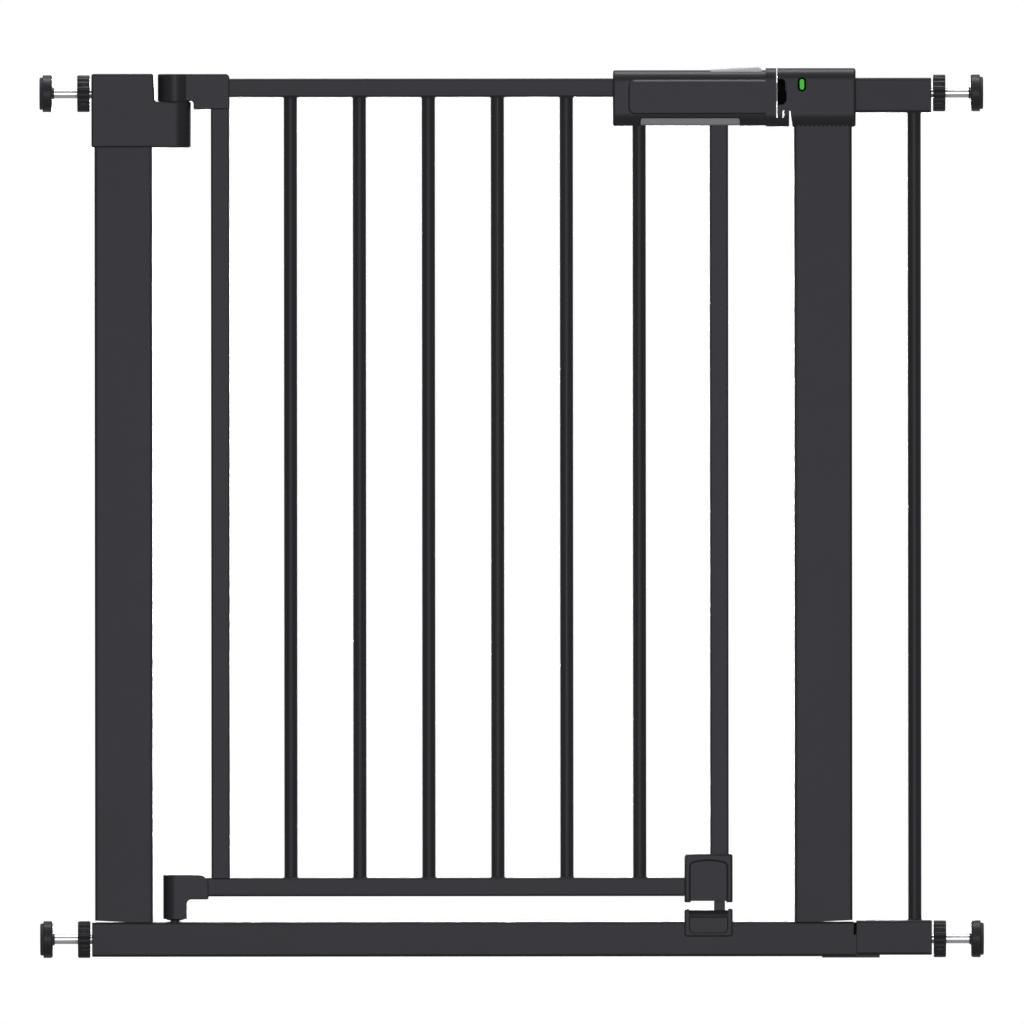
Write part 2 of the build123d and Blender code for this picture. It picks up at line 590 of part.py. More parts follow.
with BuildPart() as hinge_arm:
    arm_right = hinge_stile_x + ARM_OVERLAP
    arm_inner = hinge_x + knuckle + 2.4
    arm_points = [
        (hinge_x, arm_low), (arm_inner, arm_low), (arm_inner, arm_low - ARM_SKIRT),
        (arm_right, arm_low - ARM_SKIRT), (arm_right, arm_top), (hinge_x, arm_top),
    ]
    face = outline(Plane.XZ, arm_points, [0, 2.0, 1.2, 1.2, 3.5, 0])
    extrude(face, amount=ARM_DEPTH / 2, both=True)
    fillet(hinge_arm.faces().sort_by(Axis.Z)[-1].edges().filter_by(Axis.X), 1.2)
    arm_lathe = Plane(origin=(hinge_x, 0, 0), x_dir=(1, 0, 0), z_dir=(0, -1, 0))
    knuckle_points = [(0, arm_low), (knuckle, arm_low), (knuckle, arm_top), (0, arm_top)]
    face = outline(arm_lathe, knuckle_points, [0, 0.6, 1.2, 0])
    revolve(face, axis=Axis((hinge_x, 0, 0), (0, 0, 1)))
    tube_room = DOOR_TUBE / 2 + FIT
    tube_span = (hinge_stile_x - tube_room, arm_right + 1)
    pocket(tube_span, (-tube_room, tube_room), (arm_low - ARM_SKIRT - 1, top_rail_z + tube_room))
    face = ring(Plane(origin=(hinge_x, 0, arm_low)), knuckle - KNUCKLE_RIM, 0)
    extrude(face, amount=-KNUCKLE_GAP - KNUCKLE_LIP)
    face = ring(Plane(origin=(hinge_x, 0, arm_top - 4.0)), pin_radius + PIN_FIT, 0)
    extrude(face, amount=-HOUSING_HEIGHT, mode=Mode.SUBTRACT)
save("hinge_arm", hinge_arm.part)

with BuildPart() as upper_hinge_pin:
    pin_low = housing_low + 1.9
    face = ring(Plane(origin=(hinge_x, 0, pin_low)), pin_radius, 0)
    extrude(face, amount=arm_top - 4.6 - pin_low)
    chamfer(upper_hinge_pin.edges(), 0.5)
save("upper_hinge_pin", upper_hinge_pin.part)


# Lower hinge

block_low = rail_top + 2.8
block_top = bottom_rail_z + DOOR_TUBE / 2 + 2.6
block_arm_low = block_low + BLOCK_LEG
block_half = BLOCK_DEPTH / 2
bush_top = rail_top + 0.4

with BuildPart() as lower_hinge_block:
    leg_right = hinge_x + block_half
    block_right_end = hinge_x + BLOCK_REACH
    block_points = [
        (hinge_x - block_half, block_low), (leg_right, block_low), (leg_right, block_arm_low),
        (block_right_end, block_arm_low), (block_right_end, block_top), (hinge_x - block_half, block_top),
    ]
    face = outline(Plane.XZ, block_points, [0, 0, 4.0, 1.5, 8.5, 0])
    extrude(face, amount=block_half, both=True)
    with BuildSketch(Plane.XY.offset(block_low - 1)):
        with Locations(((hinge_x + block_right_end) / 2, 0)):
            Rectangle(BLOCK_REACH, BLOCK_DEPTH)
        with Locations((hinge_x, 0)):
            Circle(block_half)
    extrude(amount=block_top - block_low + 2, mode=Mode.INTERSECT)
    fillet(lower_hinge_block.faces().sort_by(Axis.Z)[-1].edges().filter_by(Axis.Y, reverse=True), 1.0)
    cone_plane = Plane(origin=(hinge_x, 0, block_low), x_dir=(1, 0, 0), z_dir=(0, -1, 0))
    face = outline(cone_plane, [(0, 0), (block_half - 1.6, 0), (pin_radius + 1.4, -1.3), (0, -1.3)], 0)
    revolve(face, axis=Axis((hinge_x, 0, block_low), (0, 0, 1)))
    rail_span = (bottom_rail_left - FIT, block_right_end + 1)
    rail_heights = (bottom_rail_z - tube_room, bottom_rail_z + tube_room)
    pocket(rail_span, (-tube_room, tube_room), rail_heights)
    face = ring(Plane(origin=(hinge_x, 0, block_low - 2)), pin_radius + PIN_FIT, 0)
    extrude(face, amount=BLOCK_LEG + 2, mode=Mode.SUBTRACT)
save("lower_hinge_block", lower_hinge_block.part)

with BuildPart() as lower_hinge_pin:
    lower_pin_low = rail_low + TUBE_WALL + 4.0
    face = ring(Plane(origin=(hinge_x, 0, lower_pin_low)), pin_radius, 0)
    extrude(face, amount=block_low + BLOCK_LEG - 0.4 - lower_pin_low)
    chamfer(lower_hinge_pin.edges(), 0.5)
save("lower_hinge_pin", lower_hinge_pin.part)

with BuildPart() as lower_hinge_bush:
    bush_low = rail_low + TUBE_WALL + FIT
    face = ring(Plane(origin=(hinge_x, 0, bush_low)), BUSH_DIAMETER / 2, 0)
    extrude(face, amount=bush_top - bush_low)
    face = ring(Plane(origin=(hinge_x, 0, lower_pin_low - 0.3)), pin_radius + PIN_FIT, 0)
    extrude(face, amount=RAIL_HEIGHT, mode=Mode.SUBTRACT)
save("lower_hinge_bush", lower_hinge_bush.part)


# Handle

panel_z = (handle_low + handle_top) / 2 + PANEL_RISE
squeeze_room = SQUEEZE_DEPTH / 2 + SLIDE_FIT
screw_spots = [(handle_left + 7.6, bolt_low - 4.0), (guide_left - 12.0, bolt_low - 6.0)]

with BuildPart() as grip:
    grip_plane = Plane.YZ.offset(handle_left)
    face = grip_section(grip_plane, handle_low, handle_top, HANDLE_DEPTH)
    extrude(face, amount=HANDLE_LENGTH)
    fillet(grip.faces().sort_by(Axis.X)[0].edges(), 2.0)
    panel_left = handle_left + PANEL_INSET
    panel_right = guide_left + 8.0
    panel_length = panel_right - panel_left
    panel_x = (panel_left + panel_right) / 2
    for face_side in (-1, 1):
        with BuildSketch(facing_y(panel_x, face_side * HANDLE_DEPTH / 2, panel_z, face_side)):
            RectangleRounded(panel_length, PANEL_HEIGHT, PANEL_CORNER)
        extrude(amount=PANEL_LIFT, taper=PANEL_BEVEL)
        with BuildSketch(facing_y(panel_x, face_side * HANDLE_DEPTH / 2, panel_z, -face_side)):
            RectangleRounded(panel_length, PANEL_HEIGHT, PANEL_CORNER)
        extrude(amount=SHELL_WALL / 2)
    pocket((guide_left, guide_left + 20), (-30, 30), (handle_low - 1, handle_top + 1))
    inside = Plane.YZ.offset(handle_left + SHELL_WALL)
    inner_low = handle_low + SHELL_WALL
    inner_high = handle_top - SHELL_WALL
    inner_depth = HANDLE_DEPTH - 2 * SHELL_WALL
    inner_shoulder = LATCH_SHOULDER - SHELL_WALL
    face = grip_section(inside, inner_low, inner_high, inner_depth, inner_shoulder)
    extrude(face, amount=HANDLE_LENGTH, mode=Mode.SUBTRACT)
    for spot_x, spot_z in screw_spots:
        face = ring(facing_y(spot_x, -inner_depth / 2 - 0.5, spot_z, 1), 3.4, 0)
        extrude(face, amount=inner_depth + 1)
    rail_zs = (top_rail_z - tube_room, top_rail_z + tube_room)
    pocket((handle_left - 1, handle_left + SHELL_WALL + 2), (-tube_room, tube_room), rail_zs)
    stem_span = (stem_left - BOLT_TRAVEL - 0.6, stem_right + 0.6)
    pocket(stem_span, (-3.5 - SLIDE_FIT, 3.5 + SLIDE_FIT), (handle_top - 4, handle_top + 1))
    slot_top = squeeze_low + SQUEEZE_SHOWN + 0.4
    slot_points = [
        (squeeze_left, handle_low - 1), (squeeze_right, handle_low - 1),
        (squeeze_right, slot_top), (squeeze_left, slot_top),
    ]
    face = outline(Plane.XZ, slot_points, [0, 0, 2.0, 2.0])
    extrude(face, amount=HANDLE_DEPTH, both=True, mode=Mode.SUBTRACT)
    squeeze_span = (squeeze_left - SQUEEZE_LAP - 0.5, squeeze_right + SQUEEZE_LAP + 0.5)
    pocket(squeeze_span, (-squeeze_room, squeeze_room), (handle_low - 1, squeeze_top + SQUEEZE_TRAVEL + 1))
    face = ring(Plane(origin=(last_bar_x, 0, handle_low - 1)), BAR_DIAMETER / 2 + SLIDE_FIT, 0)
    extrude(face, amount=SHELL_WALL + 2, mode=Mode.SUBTRACT)
    for spot_x, spot_z in screw_spots:
        face = ring(facing_y(spot_x, -HANDLE_DEPTH / 2 + 4.0, spot_z, 1), 1.6, 0)
        extrude(face, amount=HANDLE_DEPTH, mode=Mode.SUBTRACT)

with BuildPart() as handle_front_shell:
    add(grip.part)
    split(bisect_by=Plane.XZ, keep=Keep.TOP)
save("handle_front_shell", handle_front_shell.part)

with BuildPart() as handle_rear_shell:
    add(grip.part)
    split(bisect_by=Plane.XZ, keep=Keep.BOTTOM)
    for (spot_x, spot_z), face_y in zip(screw_spots, (HANDLE_DEPTH / 2, HANDLE_DEPTH / 2 + PANEL_LIFT)):
        with Locations(facing_y(spot_x, face_y, spot_z, 1)):
            CounterSinkHole(1.8, 3.2, depth=face_y)
save("handle_rear_shell", handle_rear_shell.part)


def add_screw(x, face_y, z, shank, length):
    """A countersunk screw driven forwards from a rear face."""
    plane = Plane(origin=(x, face_y, z), x_dir=(1, 0, 0), z_dir=(0, 0, 1))
    head = shank + 1.5
    face = outline(plane, [(0, -0.15), (head, -0.15), (shank, -1.65), (shank, -length), (0, -length)], 0)
    revolve(face, axis=Axis((x, face_y, z), (0, 1, 0)))


with BuildPart() as handle_screws:
    for (spot_x, spot_z), face_y in zip(screw_spots, (HANDLE_DEPTH / 2, HANDLE_DEPTH / 2 + PANEL_LIFT)):
        add_screw(spot_x, face_y, spot_z, 1.5, face_y + HANDLE_DEPTH / 2 - 5.0)
save("handle_screws", handle_screws.part)

hook_left = handle_end + HOOK_REACH - HOOK_TIP
hook_right = handle_end + HOOK_REACH
shelf_top = latch_low + HOOK_SHELF
hook_top = latch_low + HOOK_HEIGHT

with BuildPart() as latch_guide:
    guide_plane = Plane.YZ.offset(guide_left)
    face = grip_section(guide_plane, latch_low, latch_top, LATCH_DEPTH)
    extrude(face, amount=GUIDE_WIDTH + HOOK_REACH)
    hook_points = [
        (handle_end, shelf_top), (hook_left, shelf_top), (hook_left, hook_top), (hook_right, hook_top),
        (hook_right + 2, hook_top), (hook_right + 2, latch_top + 1), (handle_end, latch_top + 1),
    ]
    face = outline(Plane.XZ, hook_points, [0.8, 0.8, 1.2, 0, 0, 0, 0])
    extrude(face, amount=LATCH_DEPTH, both=True, mode=Mode.SUBTRACT)
    bolt_room_y = BOLT_DEPTH / 2 + SLIDE_FIT
    bolt_room_z = BOLT_HEIGHT / 2 + SLIDE_FIT
    bolt_zs = (bolt_z - bolt_room_z, bolt_z + bolt_room_z)
    pocket((guide_left - 1, handle_end + 1), (-bolt_room_y, bolt_room_y), bolt_zs)
    pocket((guide_left - 1, guide_left + 3.0), (-10.0, 10.0), (bolt_low - 2.0, bolt_top + 2.0))
save("latch_guide", latch_guide.part)

with BuildPart() as latch_bolt:
    half_bolt = BOLT_DEPTH / 2
    bolt_points = [
        (bolt_tail, -half_bolt), (bolt_tip - 6.0, -half_bolt), (bolt_tip, -1.5),
        (bolt_tip, 1.5), (bolt_tip - 6.0, half_bolt), (bolt_tail, half_bolt),
    ]
    face = outline(Plane.XY.offset(bolt_low), bolt_points, [0, 1.0, 1.0, 1.0, 1.0, 0])
    extrude(face, amount=BOLT_HEIGHT)
    face = ring(facing_x(bolt_tail, 0, bolt_z, 1), 4.0, 0)
    extrude(face, amount=10.0, mode=Mode.SUBTRACT)
save("latch_bolt", latch_bolt.part)

latch_spring = coil((spring_seat, 0, bolt_z), (1, 0, 0), 5, bolt_tail + 10.0 - spring_seat, 2.9, 0.45)
save("latch_spring", latch_spring)

with BuildPart() as thumb_slider:
    slider_points = [
        (slider_left, handle_top - 3.0), (slider_right, handle_top - 3.0), (slider_right, handle_top + 1.4),
        (slider_right - 3.2, handle_top + SLIDER_RISE), (slider_left, handle_top + 0.7),
    ]
    face = outline(Plane.XZ, slider_points, [0, 0, 0.8, 1.2, 0])
    extrude(face, amount=SLIDER_DEPTH / 2, both=True)
    under = Plane.YZ.offset(slider_left - 5)
    under_top = handle_top + 0.2
    under_depth = HANDLE_DEPTH + 0.4
    face = grip_section(under, handle_low, under_top, under_depth)
    extrude(face, amount=SLIDER_LENGTH + 10, mode=Mode.SUBTRACT)
    with BuildSketch(Plane.XY.offset(bolt_top)):
        with Locations(((stem_left + stem_right) / 2, 0)):
            RectangleRounded(stem_right - stem_left, 7.0, 1.0)
    extrude(amount=handle_top + 0.6 - bolt_top)
save("thumb_slider", thumb_slider.part)


# Squeeze grip and lower bolt

with BuildPart() as squeeze_bar:
    half_squeeze = SQUEEZE_DEPTH / 2
    wall_inner = half_squeeze - SQUEEZE_WALL
    web_top = squeeze_low + SQUEEZE_WALL
    trough_points = [
        (-half_squeeze, squeeze_low), (half_squeeze, squeeze_low), (half_squeeze, squeeze_top),
        (wall_inner, squeeze_top), (wall_inner, web_top), (-wall_inner, web_top),
        (-wall_inner, squeeze_top), (-half_squeeze, squeeze_top),
    ]
    trough_plane = Plane.YZ.offset(squeeze_left - SQUEEZE_LAP)
    face = outline(trough_plane, trough_points, [1.4, 1.4, 0.5, 0.5, 0.8, 0.8, 0.5, 0.5])
    extrude(face, amount=SQUEEZE_LENGTH + 2 * SQUEEZE_LAP)
    stile_room = DOOR_TUBE / 2 + SLIDE_FIT
    stile_span = (latch_stile_x - stile_room, latch_stile_x + stile_room)
    pocket(stile_span, (-stile_room, stile_room), (squeeze_low - 1, squeeze_top))
    bar_room = BAR_DIAMETER / 2 + SLIDE_FIT
    bar_span = (last_bar_x - 3 * bar_room, last_bar_x + bar_room)
    pocket(bar_span, (-bar_room, bar_room), (squeeze_low - 1, squeeze_top))
    pin_plane = facing_y(latch_stile_x, -half_squeeze + 0.7, cross_pin_z, 1)
    face = ring(pin_plane, CROSS_PIN_DIAMETER / 2 + PIN_FIT, 0)
    extrude(face, amount=SQUEEZE_DEPTH - 1.4, mode=Mode.SUBTRACT)
save("squeeze_bar", squeeze_bar.part)

with BuildPart() as cross_pin:
    face = ring(facing_y(latch_stile_x, -half_squeeze + 0.9, cross_pin_z, 1), CROSS_PIN_DIAMETER / 2, 0)
    extrude(face, amount=SQUEEZE_DEPTH - 1.8)
save("cross_pin", cross_pin.part)

lower_bolt_top = bottom_rail_z + DOOR_TUBE
with BuildPart() as pull_rod:
    rod_low = lower_bolt_top - 10.0
    face = ring(Plane(origin=(latch_stile_x, 0, rod_low)), PULL_ROD_DIAMETER / 2, 0)
    extrude(face, amount=cross_pin_z + CROSS_PIN_DIAMETER - rod_low)
    face = ring(facing_y(latch_stile_x, -DOOR_TUBE, cross_pin_z, 1), CROSS_PIN_DIAMETER / 2 + PIN_FIT, 0)
    extrude(face, amount=2 * DOOR_TUBE, mode=Mode.SUBTRACT)
save("pull_rod", pull_rod.part)

with BuildPart() as lower_bolt:
    half_lower = LOWER_BOLT / 2
    bevel_top = lower_bolt_low + 2.4
    tip_points = [
        (-half_lower, lower_bolt_top), (-half_lower, bevel_top), (2.4 - half_lower, lower_bolt_low),
        (half_lower - 2.4, lower_bolt_low), (half_lower, bevel_top), (half_lower, lower_bolt_top),
    ]
    face = outline(Plane.YZ.offset(latch_stile_x - half_lower), tip_points, [0, 0.8, 0.8, 0.8, 0.8, 0])
    extrude(face, amount=LOWER_BOLT)
    face = ring(Plane(origin=(latch_stile_x, 0, lower_bolt_top - 10.2)), PULL_ROD_DIAMETER / 2 + PIN_FIT, 0)
    extrude(face, amount=11.0, mode=Mode.SUBTRACT)
save("lower_bolt", lower_bolt.part)

with BuildPart() as squeeze_springs:
    spring_span = latch_stile_x - last_bar_x
    for share in (0.32, 0.66):
        spring_x = last_bar_x + spring_span * share
        add(coil((spring_x, 0, web_top), (0, 0, 1), 5, bars_high - web_top, 3.5, 0.5))
save("squeeze_springs", squeeze_springs.part)

with BuildPart() as corner_block:
    corner_top = bottom_rail_z + DOOR_TUBE / 2 + CORNER_RISE
    corner_half = CORNER_DEPTH / 2
    corner_points = [
        (corner_left, corner_low), (corner_right, corner_low),
        (corner_right, corner_top), (corner_left, corner_top),
    ]
    face = outline(Plane.XZ, corner_points, [1.0, 1.0, 2.0, 2.0])
    extrude(face, amount=corner_half, both=True)
    fillet(corner_block.edges().filter_by(Axis.Z), 2.0)
    sunk_left = corner_left + PANEL_BORDER
    sunk_right = corner_right - PANEL_BORDER
    sunk_x = (sunk_left + sunk_right) / 2
    sunk_half = (sunk_right - sunk_left) / 2
    sunk_top = corner_top - 7.5
    sunk_low = corner_low - 2 * CORNER_SINK
    for face_side in (-1, 1):
        with BuildSketch(facing_y(sunk_x, face_side * corner_half, 0, -face_side)):
            with BuildLine():
                Line((-sunk_half, sunk_low), (sunk_half, sunk_low))
                Line((sunk_half, sunk_low), (sunk_half, sunk_top))
                ThreePointArc((sunk_half, sunk_top), (0, sunk_top + 3.0), (-sunk_half, sunk_top))
                Line((-sunk_half, sunk_top), (-sunk_half, sunk_low))
            sunk = make_face()
            fillet(sunk.vertices().group_by(Axis.Y)[-1], 5.0)
        extrude(amount=CORNER_SINK, taper=SINK_BEVEL, mode=Mode.SUBTRACT)
    notch_span = (sunk_left + CORNER_SINK, sunk_right - CORNER_SINK)
    pocket(notch_span, (-CORNER_DEPTH, CORNER_DEPTH), (corner_low - 1, corner_low + CORNER_NOTCH))
    stile_zs = (bottom_rail_z - tube_room, corner_top + 1)
    pocket((latch_stile_x - tube_room, latch_stile_x + tube_room), (-tube_room, tube_room), stile_zs)
    pocket((corner_left - 1, latch_stile_x), (-tube_room, tube_room), rail_heights)
    bolt_room = LOWER_BOLT / 2 + SLIDE_FIT
    bolt_span = (latch_stile_x - bolt_room, latch_stile_x + bolt_room)
    pocket(bolt_span, (-bolt_room, bolt_room), (corner_low - 1, bottom_rail_z))
save("corner_block", corner_block.part)

with BuildPart() as lower_catch:
    catch_half = TUBE_DEPTH / 2 + LOWER_CATCH_WALL
    catch_low = rail_top - LOWER_CATCH_SKIRT
    lip_top = crest_z + 1.1
    catch_points = [
        (corner_left, catch_low), (corner_right, catch_low), (corner_right, lip_top), (corner_left, lip_top),
    ]
    face = outline(Plane.XZ, catch_points, [2.5, 2.5, 1.2, 1.2])
    extrude(face, amount=catch_half, both=True)
    rail_room = TUBE_DEPTH / 2 + FIT
    pocket((corner_left - 1, corner_right + 1), (-rail_room, rail_room), (catch_low - 1, rail_top + 0.05))
    fillet(lower_catch.edges().filter_by(Axis.X).group_by(Axis.Z)[-1], 1.5)
    ramp_foot = rail_top + 4.0
    ramp_points = [
        (-catch_half - 2, ramp_foot), (-catch_half + PANEL_SINK, ramp_foot), (-7.5, crest_z), (7.5, crest_z),
        (catch_half - PANEL_SINK, ramp_foot), (catch_half + 2, ramp_foot),
        (catch_half + 2, lip_top + 1), (-catch_half - 2, lip_top + 1),
    ]
    face = outline(Plane.YZ.offset(sunk_left), ramp_points, [0, 0, 1.0, 1.0, 0, 0, 0, 0])
    extrude(face, amount=sunk_right - sunk_left, mode=Mode.SUBTRACT)
    sunk_points = [
        (-sunk_half, catch_low + 2.6), (sunk_half, catch_low + 2.6),
        (sunk_half, ramp_foot + 0.5), (-sunk_half, ramp_foot + 0.5),
    ]
    for face_side in (-1, 1):
        sunk_plane = facing_y(sunk_x, face_side * catch_half, 0, -face_side)
        face = outline(sunk_plane, sunk_points, [4.5, 4.5, 0, 0])
        extrude(face, amount=PANEL_SINK, taper=SINK_BEVEL, mode=Mode.SUBTRACT)
    pocket(bolt_span, (-bolt_room, bolt_room), (lower_bolt_low - 0.4, lip_top))
save("lower_catch", lower_catch.part)


# Catch on the latch post

mouth_low = bolt_z - MOUTH_HEIGHT / 2
mouth_top = bolt_z + MOUTH_HEIGHT / 2
strike_right = latch_post_left - 1.4
window_x = latch_post_left + WINDOW_OFFSET
window_z = latch_top - WINDOW_DROP
flag_front = -TUBE_DEPTH / 2 - 3.1
flag_back = flag_front + FLAG_THICKNESS
strike_half = -flag_back - SLIDE_FIT
flag_left = bolt_tip + 0.4
flag_right = window_x + 12.0
flag_low = window_z - WINDOW_HEIGHT / 2 - 0.6
flag_high = window_z + WINDOW_HEIGHT / 2 + 0.6
flag_arm_top = flag_low + 4.4
flag_spring_end = flag_right + 11.0

with BuildPart() as catch_housing:
    catch_plane = Plane.YZ.offset(catch_left)
    face = grip_section(catch_plane, latch_low, latch_top, LATCH_DEPTH)
    extrude(face, amount=catch_right - catch_left)
    fillet(catch_housing.faces().sort_by(Axis.X)[-1].edges(), 2.0)
    notch_points = [
        (catch_left - 2, latch_low - 1), (catch_left - 2, shelf_top + SLIDE_FIT),
        (hook_left - HOOK_ROOM, shelf_top + SLIDE_FIT), (hook_left - HOOK_ROOM, hook_top + SLIDE_FIT),
        (hook_right + HOOK_ROOM, hook_top + SLIDE_FIT), (hook_right + HOOK_ROOM + 1.6, latch_low - 1),
    ]
    face = outline(Plane.XZ, notch_points, [0, 0, 0.6, 0.6, 0.6, 0])
    extrude(face, amount=LATCH_DEPTH, both=True, mode=Mode.SUBTRACT)
    mouth_right = catch_left + MOUTH_DEPTH
    mouth_points = [
        (catch_left - 2, mouth_low), (mouth_right - MOUTH_BEVEL, mouth_low),
        (mouth_right, mouth_low + MOUTH_BEVEL), (mouth_right, mouth_top - MOUTH_BEVEL),
        (mouth_right - MOUTH_BEVEL, mouth_top), (catch_left - 2, mouth_top),
    ]
    face = outline(Plane.XZ, mouth_points, [0, 1.0, 1.0, 1.0, 1.0, 0])
    extrude(face, amount=LATCH_DEPTH, both=True, mode=Mode.SUBTRACT)
    strike_ys = (-strike_half - 0.1, strike_half + 0.1)
    pocket((catch_left - 1, strike_right + 0.1), strike_ys, (mouth_low, mouth_top))
    with BuildSketch(Plane.XY.offset(latch_low - 1)):
        with Locations((latch_post_x, 0)):
            RectangleRounded(POST_WIDTH + 2 * FIT, TUBE_DEPTH + 2 * FIT, TUBE_CORNER)
    extrude(amount=post_top + FIT - latch_low + 1, mode=Mode.SUBTRACT)
    with BuildSketch(facing_x(rail_end - 1, 0, extension_high_z, 1)):
        RectangleRounded(TUBE_DEPTH + 2 * FIT, RAIL_HEIGHT + 2 * FIT, TUBE_CORNER)
    extrude(amount=CATCH_WALL + 3, mode=Mode.SUBTRACT)
    flag_room = (flag_front - SLIDE_FIT, -TUBE_DEPTH / 2)
    pocket((catch_left - 1, flag_spring_end), flag_room, (flag_low - SLIDE_FIT, flag_high + SLIDE_FIT))
    with BuildSketch(facing_y(window_x, flag_front, window_z, -1)):
        SlotOverall(WINDOW_HEIGHT, WINDOW_WIDTH, rotation=90)
    extrude(amount=10.0, mode=Mode.SUBTRACT)
    with BuildSketch(facing_y(window_x, WINDOW_SINK - LATCH_DEPTH / 2, window_z, -1)):
        SlotOverall(WINDOW_HEIGHT + 2 * WINDOW_RIM, WINDOW_WIDTH + 2 * WINDOW_RIM, rotation=90)
    extrude(amount=2 * WINDOW_SINK, mode=Mode.SUBTRACT)
    with Locations(*[facing_y(latch_post_x, LATCH_DEPTH / 2, latch_low + h, 1) for h in CATCH_SCREWS]):
        CounterSinkHole(2.0, 3.6, depth=8.0)
    for tooth in range(TOOTH_COUNT):
        tooth_x = latch_post_x + (tooth - (TOOTH_COUNT - 1) / 2) * TOOTH_PITCH
        tooth_points = [
            (tooth_x - TOOTH_PITCH * 0.45, latch_low - 0.1), (tooth_x + TOOTH_PITCH * 0.45, latch_low - 0.1),
            (tooth_x, latch_low + TOOTH_DEPTH),
        ]
        face = outline(Plane.XZ, tooth_points, 0)
        extrude(face, amount=LATCH_DEPTH, both=True, mode=Mode.SUBTRACT)
save("catch_housing", catch_housing.part)

with BuildPart() as strike_insert:
    pocket_half = BOLT_DEPTH / 2 + 2 * SLIDE_FIT
    strike_crest = catch_left + 0.2
    strike_foot = catch_left + MOUTH_DEPTH
    pocket_floor = bolt_tip + 1.0
    strike_points = [
        (strike_right, -strike_half), (strike_foot, -strike_half), (strike_crest, -pocket_half - 0.9),
        (strike_crest, -pocket_half), (pocket_floor, -pocket_half), (pocket_floor, pocket_half),
        (strike_crest, pocket_half), (strike_crest, pocket_half + 0.9),
        (strike_foot, strike_half), (strike_right, strike_half),
    ]
    face = outline(Plane.XY.offset(mouth_low + 0.1), strike_points, 0)
    extrude(face, amount=MOUTH_HEIGHT - 0.2)
    arm_heights = (flag_low - SLIDE_FIT, flag_arm_top + SLIDE_FIT)
    pocket((catch_left - 1, flag_left + 3.0), (-strike_half - 1, 5.0), arm_heights)
save("strike_insert", strike_insert.part)

with BuildPart() as indicator_flag:
    with BuildSketch(facing_y(0, flag_back, 0, -1)):
        with Locations(((flag_left + flag_right) / 2, (flag_low + flag_high) / 2)):
            Rectangle(flag_right - flag_left, flag_high - flag_low)
    extrude(amount=FLAG_THICKNESS)
    with BuildSketch(Plane.XY.offset(flag_low)):
        with Locations((flag_left + 1.2, (flag_front + 4.5) / 2)):
            Rectangle(2.4, 4.5 - flag_front)
    extrude(amount=flag_arm_top - flag_low)
save("indicator_flag", indicator_flag.part)

flag_spring_start = (flag_right, flag_front + 1.4, window_z)
indicator_spring = coil(flag_spring_start, (1, 0, 0), 4, flag_spring_end - flag_right, 1.0, 0.25)
save("indicator_spring", indicator_spring)

with BuildPart() as post_screws:
    for screw_rise in HOUSING_SCREWS:
        add_screw(hinge_post_x, knuckle, housing_low + screw_rise, 1.8, knuckle - 8.0)
    for screw_rise in CATCH_SCREWS:
        add_screw(latch_post_x, LATCH_DEPTH / 2, latch_low + screw_rise, 1.8, LATCH_DEPTH / 2 - 8.0)
save("post_screws", post_screws.part)
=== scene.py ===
import math

import bmesh
import bpy
from bpy.props import FloatProperty, FloatVectorProperty, IntProperty, PointerProperty
from bpy.types import Operator, Panel, PropertyGroup
from mathutils import Matrix, Vector


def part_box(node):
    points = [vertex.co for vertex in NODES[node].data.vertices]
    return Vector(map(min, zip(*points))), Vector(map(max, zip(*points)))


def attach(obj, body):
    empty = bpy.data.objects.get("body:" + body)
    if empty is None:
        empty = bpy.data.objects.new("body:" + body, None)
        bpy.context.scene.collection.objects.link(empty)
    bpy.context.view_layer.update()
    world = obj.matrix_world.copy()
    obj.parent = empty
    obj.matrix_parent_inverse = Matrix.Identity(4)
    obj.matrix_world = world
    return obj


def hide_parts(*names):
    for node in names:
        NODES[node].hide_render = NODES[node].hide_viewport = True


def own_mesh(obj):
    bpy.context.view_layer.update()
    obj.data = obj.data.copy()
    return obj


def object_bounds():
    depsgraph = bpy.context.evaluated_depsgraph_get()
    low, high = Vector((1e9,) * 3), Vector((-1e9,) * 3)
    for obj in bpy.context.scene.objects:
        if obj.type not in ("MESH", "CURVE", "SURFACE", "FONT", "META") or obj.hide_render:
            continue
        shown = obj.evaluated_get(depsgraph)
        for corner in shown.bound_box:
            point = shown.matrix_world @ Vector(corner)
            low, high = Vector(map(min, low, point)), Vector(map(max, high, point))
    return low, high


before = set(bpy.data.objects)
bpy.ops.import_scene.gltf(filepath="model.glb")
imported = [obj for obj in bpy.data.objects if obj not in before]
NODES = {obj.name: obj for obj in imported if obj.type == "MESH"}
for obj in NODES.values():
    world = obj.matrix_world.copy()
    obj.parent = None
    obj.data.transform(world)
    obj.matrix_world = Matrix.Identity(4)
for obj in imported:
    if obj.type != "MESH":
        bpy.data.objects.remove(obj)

bl_info = {
    "name": "Safety Gate",
    "version": (1, 0, 0),
    "blender": (4, 5, 0),
    "location": "View3D > Sidebar > Gate",
    "description": "Dresses the packed safety gate: finishes, welds, threads, screws and a plain studio",
    "category": "Object",
}

CAD_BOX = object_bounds()
CORNERS = ("left_lower", "left_upper", "right_lower", "right_upper")
COOL_SHEEN = (0.9, 0.87, 1.0)      # tint of the gloss on paint and mouldings
SAME_POINT = 1e-6                  # vertices nearer than this are one
SHARP_EDGE = math.radians(40)      # edges sharper than this stay sharp
FIT = 0.0001                       # clearance between a piece made here and the solid beside it
WINDOW_INSET = 0.012               # flag's outer end to the middle of the indicator window


